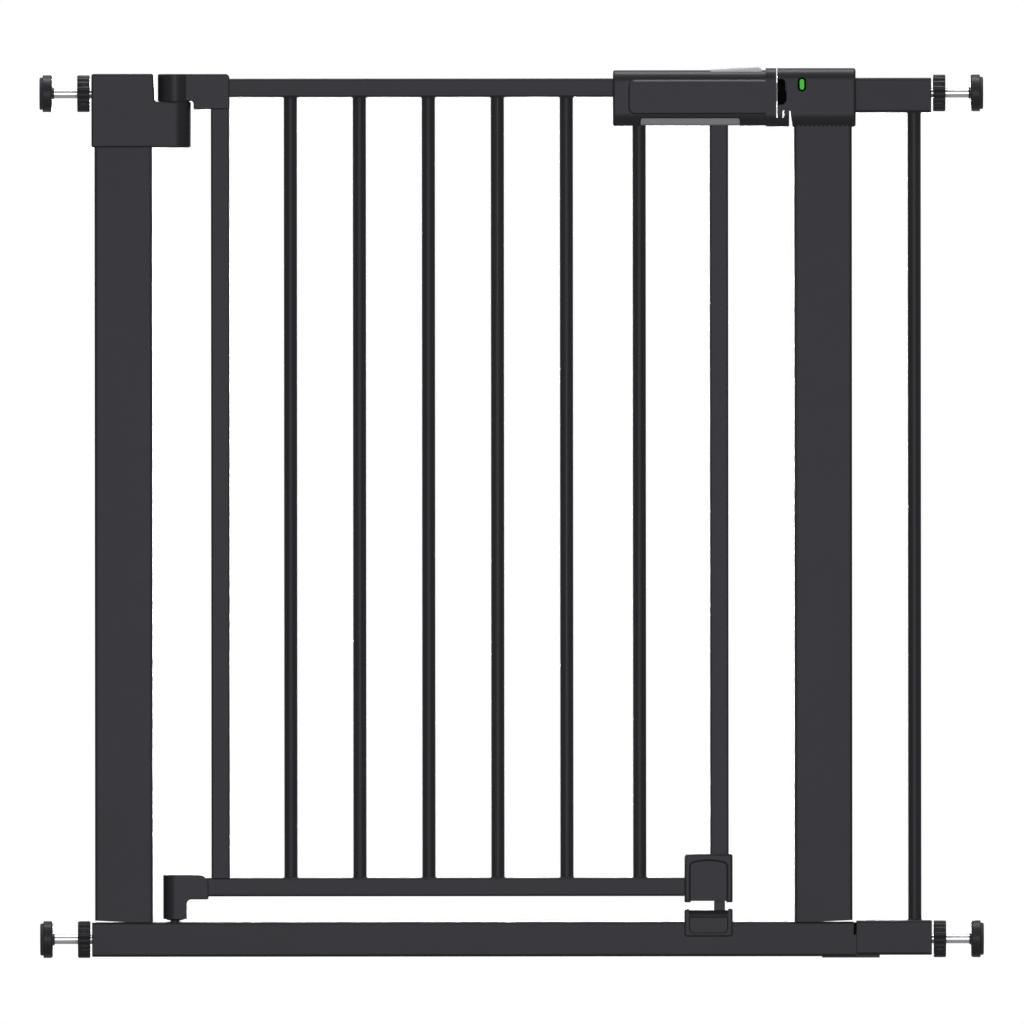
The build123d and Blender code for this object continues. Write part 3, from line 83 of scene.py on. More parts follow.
class GateColours(PropertyGroup):
    """Colours of the gate's finishes."""

    paint: FloatVectorProperty(
        name="Paint", description="Powder coat on the tubes", subtype="COLOR", size=3, min=0, max=1,
        default=(0.016, 0.0155, 0.0172))
    moulding: FloatVectorProperty(
        name="Moulding", description="Charcoal plastic of housings, handle and wheels", subtype="COLOR",
        size=3, min=0, max=1, default=(0.015, 0.0146, 0.0162))
    squeeze: FloatVectorProperty(
        name="Squeeze bar", description="Grey plastic under the handle", subtype="COLOR", size=3,
        min=0, max=1, default=(0.122, 0.119, 0.133))
    slider: FloatVectorProperty(
        name="Thumb slider", description="Light grey plastic on the handle", subtype="COLOR", size=3,
        min=0, max=1, default=(0.31, 0.31, 0.32))
    locked: FloatVectorProperty(
        name="Locked", description="Flag colour in the window when the bolt is home", subtype="COLOR", size=3,
        min=0, max=1, default=(0.05, 0.52, 0.04))
    unlocked: FloatVectorProperty(
        name="Unlocked", description="Flag colour in the window when the bolt is drawn", subtype="COLOR",
        size=3, min=0, max=1, default=(0.55, 0.03, 0.02))
    rubber: FloatVectorProperty(
        name="Pads", description="Rubber of the wall pads", subtype="COLOR", size=3, min=0, max=1,
        default=(0.02, 0.0195, 0.0225))
    zinc: FloatVectorProperty(
        name="Spindles", description="Bright plating on the spindles", subtype="COLOR", size=3, min=0, max=1,
        default=(0.26, 0.26, 0.27))


class GateSizes(PropertyGroup):
    """Sizes of the details that are made here."""

    weld_radius: FloatProperty(
        name="Weld bead", description="Radius of the bead round each bar", subtype="DISTANCE", unit="LENGTH",
        default=0.0008, min=0.0002, max=0.003)
    thread_pitch: FloatProperty(
        name="Thread pitch", description="Advance of the spindle for each turn of its wheel",
        subtype="DISTANCE", unit="LENGTH", default=0.00125, min=0.0005, max=0.003)
    head_overhang: FloatProperty(
        name="Screw head", description="Reach of a screw's head past its shank", subtype="DISTANCE",
        unit="LENGTH", default=0.0014, min=0.0005, max=0.003)
    window_width: FloatProperty(
        name="Window width", description="Clear width of the indicator window", subtype="DISTANCE",
        unit="LENGTH", default=0.0047, min=0.002, max=0.01)
    window_rim: FloatProperty(
        name="Window rim", description="Width of the sunk rim round the window", subtype="DISTANCE",
        unit="LENGTH", default=0.0014, min=0.0005, max=0.003)
    window_lip: FloatProperty(
        name="Window lip", description="Reach of the black ring over the window's edge", subtype="DISTANCE",
        unit="LENGTH", default=0.0004, min=0, max=0.001)
    slider_depth: FloatProperty(
        name="Slider depth", description="Thumb slider from front to back", subtype="DISTANCE", unit="LENGTH",
        default=0.0282, min=0.02, max=0.034)
    crown_flat: FloatProperty(
        name="Crown flat", description="Half of the flat on top of the handle", subtype="DISTANCE",
        unit="LENGTH", default=0.0085, min=0.002, max=0.018)
    crown_bend: FloatProperty(
        name="Crown bend", description="Rounding of the handle's upper edges", subtype="DISTANCE",
        unit="LENGTH", default=0.01, min=0.002, max=0.018)
    wheel_lobes: IntProperty(
        name="Wheel lobes", description="Lobes round each hand wheel", default=18, min=6, max=36)
    lobe_depth: FloatProperty(
        name="Lobe depth", description="Depth of the grooves between the lobes", subtype="DISTANCE",
        unit="LENGTH", default=0.0013, min=0.0003, max=0.003)
    pad_rings: IntProperty(
        name="Pad rings", description="Grooves moulded in the face of each wall pad", default=4, min=1, max=8)
    floor_reach: FloatProperty(
        name="Floor", description="Radius of the floor", subtype="DISTANCE", unit="LENGTH",
        default=2.5, min=1, max=10)
    camera_distance: FloatProperty(
        name="Camera distance", description="Far enough that the view is nearly parallel", subtype="DISTANCE",
        unit="LENGTH", default=40.0, min=5, max=80)
    view_width: FloatProperty(
        name="View width", description="Width that the picture takes in at the gate", subtype="DISTANCE",
        unit="LENGTH", default=0.88632, min=0.5, max=2)


def colours():
    """The scene's colours of the gate."""
    return bpy.context.scene.gate_colours


def sizes():
    """The scene's sizes of the gate's details."""
    return bpy.context.scene.gate_sizes


# Node building

def put(tree, kind, inputs=None, **settings):
    """A node with its settings made and its inputs set or linked, by name or place."""
    node = tree.nodes.new(kind)
    for key, value in settings.items():
        setattr(node, key, value)
    for key, value in (inputs or {}).items():
        if isinstance(value, bpy.types.NodeSocket):
            tree.links.new(value, node.inputs[key])
        else:
            node.inputs[key].default_value = value
    return node


def maths(tree, operation, *values):
    """The result of a math node on numbers or sockets."""
    return put(tree, "ShaderNodeMath", dict(enumerate(values)), operation=operation).outputs[0]


def mixed_colour(tree, factor, first, second, blend="MIX"):
    """Two colours mixed by a factor; the colour sockets of a mix node are its seventh and eighth."""
    mix = put(tree, "ShaderNodeMix", {0: factor, 6: first, 7: second}, data_type="RGBA", blend_type=blend)
    return mix.outputs[2]


def object_place(tree):
    """Object coordinates, which ride with the piece."""
    return put(tree, "ShaderNodeTexCoord").outputs["Object"]


def shader_group(name, inputs, outputs):
    """An empty shader group, its input node and its output node."""
    tree = bpy.data.node_groups.new(name, "ShaderNodeTree")
    for label, kind, default in inputs:
        socket = tree.interface.new_socket(label, in_out="INPUT", socket_type=kind)
        socket.default_value = default
    for label, kind in outputs:
        tree.interface.new_socket(label, in_out="OUTPUT", socket_type=kind)
    return tree, tree.nodes.new("NodeGroupInput"), tree.nodes.new("NodeGroupOutput")


def uneven(tree, noise, given):
    """A group's roughness, varied either way by a noise."""
    centred = maths(tree, "SUBTRACT", noise, 0.5)
    return maths(tree, "MULTIPLY_ADD", centred, given.outputs["Spread"], given.outputs["Roughness"])


def grain_group():
    """Fine grain of paint and mouldings: a slight mottle, uneven gloss and a height for bump."""
    if "surface_grain" in bpy.data.node_groups:
        return bpy.data.node_groups["surface_grain"]
    tree, given, result = shader_group(
        "surface_grain",
        [("Colour", "NodeSocketColor", (0.5, 0.5, 0.5, 1)), ("Scale", "NodeSocketFloat", 1500.0),
         ("Mottle", "NodeSocketFloat", 0.2), ("Roughness", "NodeSocketFloat", 0.5),
         ("Spread", "NodeSocketFloat", 0.1)],
        [("Colour", "NodeSocketColor"), ("Roughness", "NodeSocketFloat"), ("Height", "NodeSocketFloat")])
    place = object_place(tree)
    fine = put(tree, "ShaderNodeTexNoise", {"Vector": place, "Scale": given.outputs["Scale"], "Detail": 3.0})
    broad = put(tree, "ShaderNodeTexNoise", {"Vector": place, "Scale": 22.0, "Detail": 4.0, "Roughness": 0.6})
    tone = put(tree, "ShaderNodeMapRange", {"Value": broad.outputs["Fac"], "From Min": 0.3, "From Max": 0.7,
                                            "To Min": 0.82, "To Max": 1.12})
    mottled = mixed_colour(tree, given.outputs["Mottle"], given.outputs["Colour"], tone.outputs["Result"],
                           "MULTIPLY")
    tree.links.new(mottled, result.inputs["Colour"])
    tree.links.new(uneven(tree, fine.outputs["Fac"], given), result.inputs["Roughness"])
    tree.links.new(fine.outputs["Fac"], result.inputs["Height"])
    return tree


def lines_group():
    """Fine lines left by drawing or turning metal along one axis."""
    if "drawn_lines" in bpy.data.node_groups:
        return bpy.data.node_groups["drawn_lines"]
    tree, given, result = shader_group(
        "drawn_lines",
        [("Along", "NodeSocketVector", (1.0, 1.0, 1.0)), ("Roughness", "NodeSocketFloat", 0.25),
         ("Spread", "NodeSocketFloat", 0.15)],
        [("Roughness", "NodeSocketFloat"), ("Height", "NodeSocketFloat")])
    scaled = put(tree, "ShaderNodeVectorMath", {0: object_place(tree), 1: given.outputs["Along"]},
                 operation="MULTIPLY")
    lines = put(tree, "ShaderNodeTexNoise", {"Vector": scaled.outputs[0], "Scale": 1.0, "Detail": 2.0})
    tree.links.new(uneven(tree, lines.outputs["Fac"], given), result.inputs["Roughness"])
    tree.links.new(lines.outputs["Fac"], result.inputs["Height"])
    return tree


# Finishes

def blank_material(name):
    """A new node material with its Principled shader."""
    material = bpy.data.materials.new(name)
    material.use_nodes = True
    return material, material.node_tree, material.node_tree.nodes["Principled BSDF"]


def bumped(tree, shader, height, strength, distance):
    """Feeds a height to the shader's normal."""
    bump = put(tree, "ShaderNodeBump", {"Height": height, "Strength": strength, "Distance": distance})
    tree.links.new(bump.outputs["Normal"], shader.inputs["Normal"])


def grained(name, colour, scale, roughness, specular, bump=0.2, sheen=(1.0, 1.0, 1.0)):
    """Paint, plastic or rubber with fine grain; sheen tints its gloss."""
    if name in bpy.data.materials:
        return bpy.data.materials[name]
    material, tree, shader = blank_material(name)
    grain = put(tree, "ShaderNodeGroup", node_tree=grain_group())
    for key, value in (("Colour", (*colour, 1)), ("Scale", scale), ("Mottle", 0.3), ("Roughness", roughness),
                       ("Spread", 0.16)):
        grain.inputs[key].default_value = value
    tree.links.new(grain.outputs["Colour"], shader.inputs["Base Color"])
    tree.links.new(grain.outputs["Roughness"], shader.inputs["Roughness"])
    shader.inputs["Specular IOR Level"].default_value = specular
    shader.inputs["Specular Tint"].default_value = (*sheen, 1)
    bumped(tree, shader, grain.outputs["Height"], strength=bump, distance=0.0002)
    return material


def drawn(name, colour, along, roughness):
    """Bare or plated metal with drawing lines; along scales their noise on each axis."""
    if name in bpy.data.materials:
        return bpy.data.materials[name]
    material, tree, shader = blank_material(name)
    shader.inputs["Base Color"].default_value = (*colour, 1)
    shader.inputs["Metallic"].default_value = 1.0
    lines = put(tree, "ShaderNodeGroup", node_tree=lines_group())
    lines.inputs["Along"].default_value = along
    lines.inputs["Roughness"].default_value = roughness
    tree.links.new(lines.outputs["Roughness"], shader.inputs["Roughness"])
    bumped(tree, shader, lines.outputs["Height"], strength=0.05, distance=0.0001)
    return material


def paint():
    """Powder coat."""
    return grained("powder_coat", colours().paint, scale=1300.0, roughness=0.45, specular=0.066,
                   bump=0.1, sheen=COOL_SHEEN)


def moulding():
    """Charcoal plastic."""
    return grained("charcoal_moulding", colours().moulding, scale=2600.0, roughness=0.42, specular=0.06,
                   bump=0.1, sheen=COOL_SHEEN)


def shade_black():
    """Black that keeps dark in the light: painted shade, for small pieces that stand in for shaded gaps and
    recesses.
    """
    return grained("shade_black", (0.002, 0.002, 0.0022), scale=2600.0, roughness=0.8, specular=0.02)


def zinc():
    """Bright plating with turning lines round X."""
    return drawn("bright_zinc", colours().zinc, along=(60.0, 2500.0, 2500.0), roughness=0.34)


def dull_zinc():
    """Passivated plating of the screws."""
    return drawn("dull_zinc", (0.24, 0.24, 0.25), along=(900.0, 900.0, 900.0), roughness=0.55)


def steel():
    """Plain steel drawn along Z."""
    return drawn("plain_steel", (0.5, 0.5, 0.52), along=(900.0, 900.0, 60.0), roughness=0.3)


def oxide_and_shade_steel():
    """Steel with a black oxide coat, kept dark as painted shade so the bolt reads as shade in the catch's
    mouth.
    """
    return drawn("oxide_and_shade_steel", (0.05, 0.05, 0.055), along=(900.0, 900.0, 60.0), roughness=0.4)


def spring_wire():
    """Wire of the coil springs."""
    return drawn("spring_wire", (0.36, 0.36, 0.38), along=(700.0, 700.0, 700.0), roughness=0.35)


def flag_finish():
    """The flag's colours across its plate: charcoal by the slit, painted shade so the plate seen in the
    catch's mouth reads dark, then locked, then unlocked.
    """
    material, tree, shader = blank_material("indicator_colours")
    half = sizes().window_width / 2
    middle = window_centre().x
    locked_from = middle - 2 * half
    unlocked_from = middle + 1.35 * half
    place = object_place(tree)
    across = put(tree, "ShaderNodeSeparateXYZ", {0: place}).outputs["X"]
    # painted shade: the plate starts charcoal, so where it shows in the catch's mouth it reads as shade
    shown = (*colours().moulding, 1)
    for start, colour in ((locked_from, colours().locked), (unlocked_from, colours().unlocked)):
        shown = mixed_colour(tree, maths(tree, "GREATER_THAN", across, start), shown, (*colour, 1))
    tree.links.new(shown, shader.inputs["Base Color"])
    grain = put(tree, "ShaderNodeTexNoise", {"Vector": place, "Scale": 1800.0, "Detail": 2.0})
    gloss = put(tree, "ShaderNodeMapRange", {"Value": grain.outputs["Fac"], "To Min": 0.3, "To Max": 0.45})
    tree.links.new(gloss.outputs["Result"], shader.inputs["Roughness"])
    shader.inputs["Specular IOR Level"].default_value = 0.02
    return material


def seen_directly(tree):
    """One where a ray from the camera, a reflection or a transmission arrives, else nought."""
    path = put(tree, "ShaderNodeLightPath").outputs
    most = maths(tree, "MAXIMUM", path["Is Camera Ray"], path["Is Glossy Ray"])
    return maths(tree, "MAXIMUM", most, path["Is Transmission Ray"])


def floor_finish(reach):
    """A white floor that keeps the shadow near the gate and fades into the white backdrop."""
    material, tree, shader = blank_material("studio_floor")
    seen = seen_directly(tree)
    tone = put(tree, "ShaderNodeMapRange", {"Value": seen, "To Min": 0.1, "To Max": 0.95})
    tree.links.new(tone.outputs["Result"], shader.inputs["Base Color"])
    shader.inputs["Roughness"].default_value = 0.9
    shader.inputs["Specular IOR Level"].default_value = 0.0
    glow = put(tree, "ShaderNodeEmission", {"Color": (1, 1, 1, 1), "Strength": 1.0})
    away = put(tree, "ShaderNodeVectorMath", {0: object_place(tree)}, operation="LENGTH")
    share = put(tree, "ShaderNodeMapRange", {"Value": away.outputs["Value"], "From Min": 0.3 * reach,
                                             "From Max": 0.9 * reach, "To Min": 0.85, "To Max": 1.0})
    glowing = maths(tree, "MULTIPLY", seen, share.outputs["Result"])
    both = put(tree, "ShaderNodeMixShader", {0: glowing, 1: shader.outputs[0], 2: glow.outputs[0]})
    tree.links.new(both.outputs[0], tree.nodes["Material Output"].inputs["Surface"])
    return material


def wear(material, *names):
    """Puts a finish on CAD nodes."""
    for name in names:
        mesh = NODES[name].data
        mesh.materials.clear()
        mesh.materials.append(material)


def window_centre():
    """Middle of the indicator window, read from the flag that stands behind it."""
    low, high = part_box("indicator_flag")
    return Vector((high.x - WINDOW_INSET, low.y, (low.z + high.z) / 2))


# Geometry nodes

def geometry_tree(name, *inputs):
    """An empty geometry tree with named number inputs, its input node's outputs and its output node."""
    tree = bpy.data.node_groups.new(name, "GeometryNodeTree")
    tree.interface.new_socket("Geometry", in_out="INPUT", socket_type="NodeSocketGeometry")
    for label in inputs:
        tree.interface.new_socket(label, in_out="INPUT", socket_type="NodeSocketFloat")
    tree.interface.new_socket("Geometry", in_out="OUTPUT", socket_type="NodeSocketGeometry")
    return tree, tree.nodes.new("NodeGroupInput").outputs, tree.nodes.new("NodeGroupOutput")


def shifted(tree, shape, **change):
    """A shape moved or turned."""
    inputs = {"Geometry": shape, **{key.title(): value for key, value in change.items()}}
    return put(tree, "GeometryNodeTransform", inputs).outputs[0]


def joined(tree, *shapes):
    """Several shapes as one."""
    both = put(tree, "GeometryNodeJoinGeometry")
    for shape in shapes:
        tree.links.new(shape, both.inputs[0])
    return both.outputs[0]


def finish_tree(tree, given, result, shape, material, smooth):
    """Ends a tree: its shape at each point, made real, shaded and coated."""
    spread = put(tree, "GeometryNodeInstanceOnPoints", {"Points": given["Geometry"], "Instance": shape})
    real = put(tree, "GeometryNodeRealizeInstances", {"Geometry": spread.outputs[0]})
    shaded = put(tree, "GeometryNodeSetShadeSmooth", {"Geometry": real.outputs[0], "Shade Smooth": smooth})
    coated = put(tree, "GeometryNodeSetMaterial", {"Geometry": shaded.outputs[0], "Material": material})
    tree.links.new(coated.outputs[0], result.inputs[0])
    return tree


def grow(name, tree, values, points, body):
    """Runs a tree on a set of points and keeps what it makes as a plain mesh that rides on a body."""
    seed = bpy.data.meshes.new(name + "_points")
    seed.from_pydata([tuple(p) for p in points], [], [])
    piece = bpy.data.objects.new(name, seed)
    bpy.context.scene.collection.objects.link(piece)
    modifier = piece.modifiers.new(name, "NODES")
    modifier.node_group = tree
    for item in tree.interface.items_tree:
        if item.item_type == "SOCKET" and item.in_out == "INPUT" and item.name in values:
            modifier[item.identifier] = values[item.name]
    bpy.context.view_layer.update()
    made = bpy.data.meshes.new_from_object(piece.evaluated_get(bpy.context.evaluated_depsgraph_get()))
    piece.modifiers.clear()
    piece.data = made
    bpy.data.meshes.remove(seed)
    made.name = name
    if not made.polygons:
        raise RuntimeError(name + " came out empty")
    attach(piece, body)
    return piece


def bead_tree():
    """A weld bead round the foot of each bar."""
    tree, given, result = geometry_tree("weld_beads", "Bar Radius", "Bead Radius")
    ring = put(tree, "GeometryNodeCurvePrimitiveCircle", {"Resolution": 40, "Radius": given["Bar Radius"]})
    bead = put(tree, "GeometryNodeCurvePrimitiveCircle", {"Resolution": 10, "Radius": given["Bead Radius"]})
    torus = put(tree, "GeometryNodeCurveToMesh", {"Curve": ring.outputs[0], "Profile Curve": bead.outputs[0]})
    return finish_tree(tree, given, result, torus.outputs[0], paint(), True)


def thread_tree():
    """A threaded length of rod along X: a helical ridge on a core."""
    ridge_sink, ridge_half, core_sink = 0.5, 0.48, 0.55      # shares of the pitch
    tree, given, result = geometry_tree("spindle_thread", "Length", "Pitch", "Radius")
    length, pitch, radius = given["Length"], given["Pitch"], given["Radius"]
    inner = maths(tree, "MULTIPLY_ADD", pitch, -ridge_sink, radius)
    helix = put(tree, "GeometryNodeCurveSpiral",
                {"Resolution": 24, "Rotations": maths(tree, "DIVIDE", length, pitch), "Start Radius": inner,
                 "End Radius": inner, "Height": length})
    upright = put(tree, "GeometryNodeSetCurveNormal", {"Curve": helix.outputs[0]}, mode="Z_UP")
    tooth = put(tree, "GeometryNodeCurvePrimitiveCircle",
                {"Resolution": 4, "Radius": maths(tree, "MULTIPLY", pitch, ridge_half)})
    thread = put(tree, "GeometryNodeCurveToMesh",
                 {"Curve": upright.outputs[0], "Profile Curve": tooth.outputs[0], "Fill Caps": True})
    core_radius = maths(tree, "MULTIPLY_ADD", pitch, -core_sink, radius)
    core = put(tree, "GeometryNodeMeshCylinder", {"Vertices": 32, "Radius": core_radius, "Depth": length})
    half = put(tree, "ShaderNodeCombineXYZ", {"Z": maths(tree, "MULTIPLY", length, 0.5)})
    raised = shifted(tree, core.outputs[0], translation=half.outputs[0])
    laid = shifted(tree, joined(tree, thread.outputs[0], raised), rotation=(0.0, math.pi / 2, 0.0))
    return finish_tree(tree, given, result, laid, zinc(), False)


def screw_tree():
    """A countersunk screw with a cross recess at each point, driven forwards from the rear."""
    head_height = 0.0015
    recess_height = 0.0022
    recess_reach, recess_width = 1.1, 0.24      # shares of the head's radius
    tree, given, result = geometry_tree("rear_screws", "Head Radius", "Shank Radius", "Length")
    head = put(tree, "GeometryNodeMeshCone",
               {"Vertices": 32, "Radius Top": given["Head Radius"], "Radius Bottom": given["Shank Radius"],
                "Depth": head_height})
    flush = shifted(tree, head.outputs[0], translation=(0.0, 0.0, -head_height))
    down = put(tree, "ShaderNodeCombineXYZ", {"Z": maths(tree, "MULTIPLY", given["Length"], -0.5)})
    shank = put(tree, "GeometryNodeMeshCylinder",
                {"Vertices": 20, "Radius": given["Shank Radius"], "Depth": given["Length"]})
    sunk = shifted(tree, shank.outputs[0], translation=down.outputs[0])
    wide = maths(tree, "MULTIPLY", given["Head Radius"], recess_reach)
    thin = maths(tree, "MULTIPLY", given["Head Radius"], recess_width)
    crossed = put(tree, "GeometryNodeMeshBoolean", operation="DIFFERENCE", solver="EXACT")
    tree.links.new(flush, crossed.inputs["Mesh 1"])
    for across, along in ((wide, thin), (thin, wide)):
        size = put(tree, "ShaderNodeCombineXYZ", {"X": across, "Y": along, "Z": recess_height})
        recess = put(tree, "GeometryNodeMeshCube", {"Size": size.outputs[0]})
        tree.links.new(recess.outputs[0], crossed.inputs["Mesh 2"])
    driven = shifted(tree, joined(tree, crossed.outputs[0], sunk), rotation=(-math.pi / 2, 0.0, 0.0))
    return finish_tree(tree, given, result, driven, dull_zinc(), False)


# Meshes made vertex by vertex

def copied(name):
    """A working copy of a CAD node's mesh with its seams closed."""
    work = bmesh.new()
    work.from_mesh(NODES[name].data)
    bmesh.ops.remove_doubles(work, verts=work.verts, dist=SAME_POINT)
    return work


def islands(name):
    """Boxes of the separate solids in a CAD node, as (low, high) corners."""
    work = copied(name)
    boxes = []
    unseen = set(work.verts)
    while unseen:
        stack = [unseen.pop()]
        found = list(stack)
        while stack:
            for edge in stack.pop().link_edges:
                for vert in edge.verts:
                    if vert in unseen:
                        unseen.discard(vert)
                        stack.append(vert)
                        found.append(vert)
        low = Vector([min(v.co[i] for v in found) for i in range(3)])
        high = Vector([max(v.co[i] for v in found) for i in range(3)])
        boxes.append((low, high))
    work.free()
    return sorted(boxes, key=lambda b: (round(b[0].x, 4), round(b[0].z, 4)))


def ring_about_x(work, x, centre, reaches):
    """Vertices round an X axis through a centre, one for each reach from it."""
    ring = []
    for i, reach in enumerate(reaches):
        angle = 2 * math.pi * i / len(reaches)
        y = centre.y + reach * math.cos(angle)
        z = centre.z + reach * math.sin(angle)
        ring.append(work.verts.new((x, y, z)))
    return ring


def bridge(work, rings):
    """Faces between successive closed rings of as many vertices."""
    for here, there in zip(rings, rings[1:]):
        for i in range(len(here)):
            j = (i + 1) % len(here)
            work.faces.new((here[i], here[j], there[j], there[i]))


def turned(name, profile, centre, side, material, body, steps=64):
    """A solid of revolution about X through a centre; the profile is (radius, outward distance) pairs."""
    work = bmesh.new()
    rings = []
    for radius, reach in profile:
        x = centre.x + side * reach
        if radius:
            rings.append(ring_about_x(work, x, centre, [radius] * steps))
        else:
            rings.append([work.verts.new((x, centre.y, centre.z))])
    for a, b in zip(rings, rings[1:]):
        for i in range(steps):
            j = (i + 1) % steps
            corners = [a[i % len(a)], a[j % len(a)], b[j % len(b)], b[i % len(b)]]
            work.faces.new(list(dict.fromkeys(corners)))
    return settled(work, name, material, body)


def settled(work, name, material, body):
    """Ends a mesh: normals outward, smooth with sharp edges kept, its finish, and riding on its body."""
    bmesh.ops.recalc_face_normals(work, faces=work.faces)
    mesh = bpy.data.meshes.new(name)
    work.to_mesh(mesh)
    work.free()
    for face in mesh.polygons:
        face.use_smooth = True
    mesh.set_sharp_from_angle(angle=SHARP_EDGE)
    mesh.materials.append(material)
    piece = bpy.data.objects.new(name, mesh)
    bpy.context.scene.collection.objects.link(piece)
    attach(piece, body)
    return piece


def add_block(work, low, high):
    """Adds a box between two corners to a mesh."""
    centre = [(a + b) / 2 for a, b in zip(low, high)]
    size = [b - a for a, b in zip(low, high)]
    bmesh.ops.create_cube(work, size=1.0, matrix=Matrix.Translation(centre) @ Matrix.Diagonal((*size, 1)))


# Operators, one for each piece or group of like pieces

class GATE_OT_tubes(Operator):
    """Powder coats the frame, the extension and the door's tubes and bars"""

    bl_idname = "gate.tubes"
    bl_label = "Tubes"

    def execute(self, context):
        wear(paint(), "threshold_rail", "hinge_post", "latch_post", "extension_top_tube",
             "extension_bottom_tube", "extension_bar", "joint_plate", "hinge_stile", "latch_stile",
             "door_top_rail", "door_bottom_rail", "door_bars")
        return {"FINISHED"}


class GATE_OT_welds(Operator):
    """Weld beads where the round bars meet the rails"""

    bl_idname = "gate.welds"
    bl_label = "Weld beads"

    def execute(self, context):
        tree = bead_tree()
        for body, node in (("door", "door_bars"), ("frame", "extension_bar")):
            ends = []
            for low, high in islands(node):
                middle = (low + high) / 2
                ends += [(middle.x, middle.y, low.z), (middle.x, middle.y, high.z)]
                radius = (high.x - low.x) / 2
            values = {"Bar Radius": radius, "Bead Radius": sizes().weld_radius}
            piece = grow(node + "_welds", tree, values, sorted(set(ends)), body)
        return {"FINISHED"}


class GATE_OT_mouldings(Operator):
    """Finishes the charcoal plastic: housings, handle, blocks, plugs and cups"""

    bl_idname = "gate.mouldings"
    bl_label = "Mouldings"

    def execute(self, context):
        wear(moulding(), "hinge_housing", "knuckle_plug", "catch_housing", "lower_catch", "tube_end_plugs",
             "top_rail_plug", "hinge_arm", "lower_hinge_block", "corner_block", "handle_front_shell",
             "handle_rear_shell", "latch_guide", "lower_hinge_bush", "lower_bolt")
        # painted shade: the strike insert is black so the catch's mouth reads as a shaded recess
        wear(shade_black(), "strike_insert")
        for corner in CORNERS:
            wear(moulding(), "pad_cup_" + corner)
        return {"FINISHED"}


class GATE_OT_controls(Operator):
    """Finishes the squeeze bar and the indicator flag"""

    bl_idname = "gate.controls"
    bl_label = "Latch controls"

    def execute(self, context):
        grey = grained("squeeze_grey", colours().squeeze, scale=2600.0, roughness=0.48, specular=0.15)
        wear(grey, "squeeze_bar")
        wear(flag_finish(), "indicator_flag")
        return {"FINISHED"}


class GATE_OT_slider(Operator):
    """Moulds the thumb slider, a ramp that wraps over the handle's rounded crown"""

    bl_idname = "gate.slider"
    bl_label = "Thumb slider"

    def execute(self, context):
        lift = 0.0002           # clearance over the crown
        wall = 0.0003           # least thickness, at the skirts
        shoulder = 0.0018       # rounding of the upper edges, front and back
        nose = 0.0032           # length of the rounded high end
        stem_below = 0.004      # this far under the crown, the solid is only its stem
        stem_overlap = 0.0006   # reach of the stem into the ramp
        steps = 12
        low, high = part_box("thumb_slider")
        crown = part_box("handle_front_shell")[1].z
        flat = sizes().crown_flat
        bend = sizes().crown_bend
        half = sizes().slider_depth / 2
        rise = high.z - crown

        def over_crown(reach):
            """Height of the underside over the crown's top, at a reach from the middle beyond the flat."""
            return math.sqrt((bend + lift) ** 2 - (reach - flat) ** 2) - bend

        skirt = over_crown(half)
        # (place along X, height of the top); the later ones from (nose lengths before the high end, drop)
        stations = [(low.x, 0.0004), (low.x + 0.0003, 0.0008)]
        stations += [(high.x - before * nose, rise - drop) for before, drop in (
            (1.625, 0.0001), (1.0, 0.00015), (0.6, 0.0007), (0.25, 0.0016), (0.06, 0.0026), (0.0, 0.0034))]
        reaches = [flat + (half - wall - flat) * i / steps for i in range(steps + 1)]
        inner = [(reach, over_crown(reach)) for reach in reaches]
        under = [(-y, z) for y, z in reversed(inner)] + inner
        work = bmesh.new()
        rings = []
        for x, top in stations:
            section = []
            for i in range(steps + 1):
                turn = math.pi / 2 * i / steps
                reach = half - shoulder + shoulder * math.cos(turn)
                section.append((reach, skirt + max(top - skirt, wall) * math.sin(turn)))
            outer = section + [(-y, z) for y, z in reversed(section)]
            rings.append([work.verts.new((x, y, crown + z)) for y, z in outer + under])
        bridge(work, rings)
        work.faces.new(rings[0])
        work.faces.new(rings[-1])
        stem = [v.co for v in NODES["thumb_slider"].data.vertices if v.co.z < crown - stem_below]
        deep = max(v.y for v in stem)
        add_block(work, (min(v.x for v in stem), -deep, low.z),
                  (max(v.x for v in stem), deep, crown + stem_overlap))
        finish = grained("slider_grey", colours().slider, scale=2600.0, roughness=0.45, specular=0.2)
        piece = settled(work, "slider_ramp", finish, "latch")
        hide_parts("thumb_slider")
        return {"FINISHED"}


class GATE_OT_wheels(Operator):
    """Hand wheels with rounded lobes for the fingers"""

    bl_idname = "gate.wheels"
    bl_label = "Hand wheels"

    def execute(self, context):
        chamfer = 0.0007
        first_lobe = math.radians(4)
        lobes = sizes().wheel_lobes
        steps = 10 * lobes
        dips = [sizes().lobe_depth * (1 - abs(math.cos(lobes * (2 * math.pi * i / steps - first_lobe) / 2)))
                for i in range(steps)]
        for corner in CORNERS:
            low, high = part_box("hand_wheel_" + corner)
            rod_low, rod_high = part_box("spindle_rod_" + corner)
            middle = (low + high) / 2
            radius = (high.z - low.z) / 2
            bore = (rod_high.z - rod_low.z) / 2 + FIT
            work = bmesh.new()
            rings = []
            outline = ((low.x, chamfer), (low.x + chamfer, 0), (high.x - chamfer, 0), (high.x, chamfer))
            for x, inset in outline:
                rings.append(ring_about_x(work, x, middle, [radius - inset - dip for dip in dips]))
            for x in (high.x, low.x):
                rings.append(ring_about_x(work, x, middle, [bore] * steps))
            bridge(work, rings + rings[:1])
            piece = settled(work, "lobed_wheel_" + corner, moulding(), "wheel_" + corner)
            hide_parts("hand_wheel_" + corner)
        return {"FINISHED"}


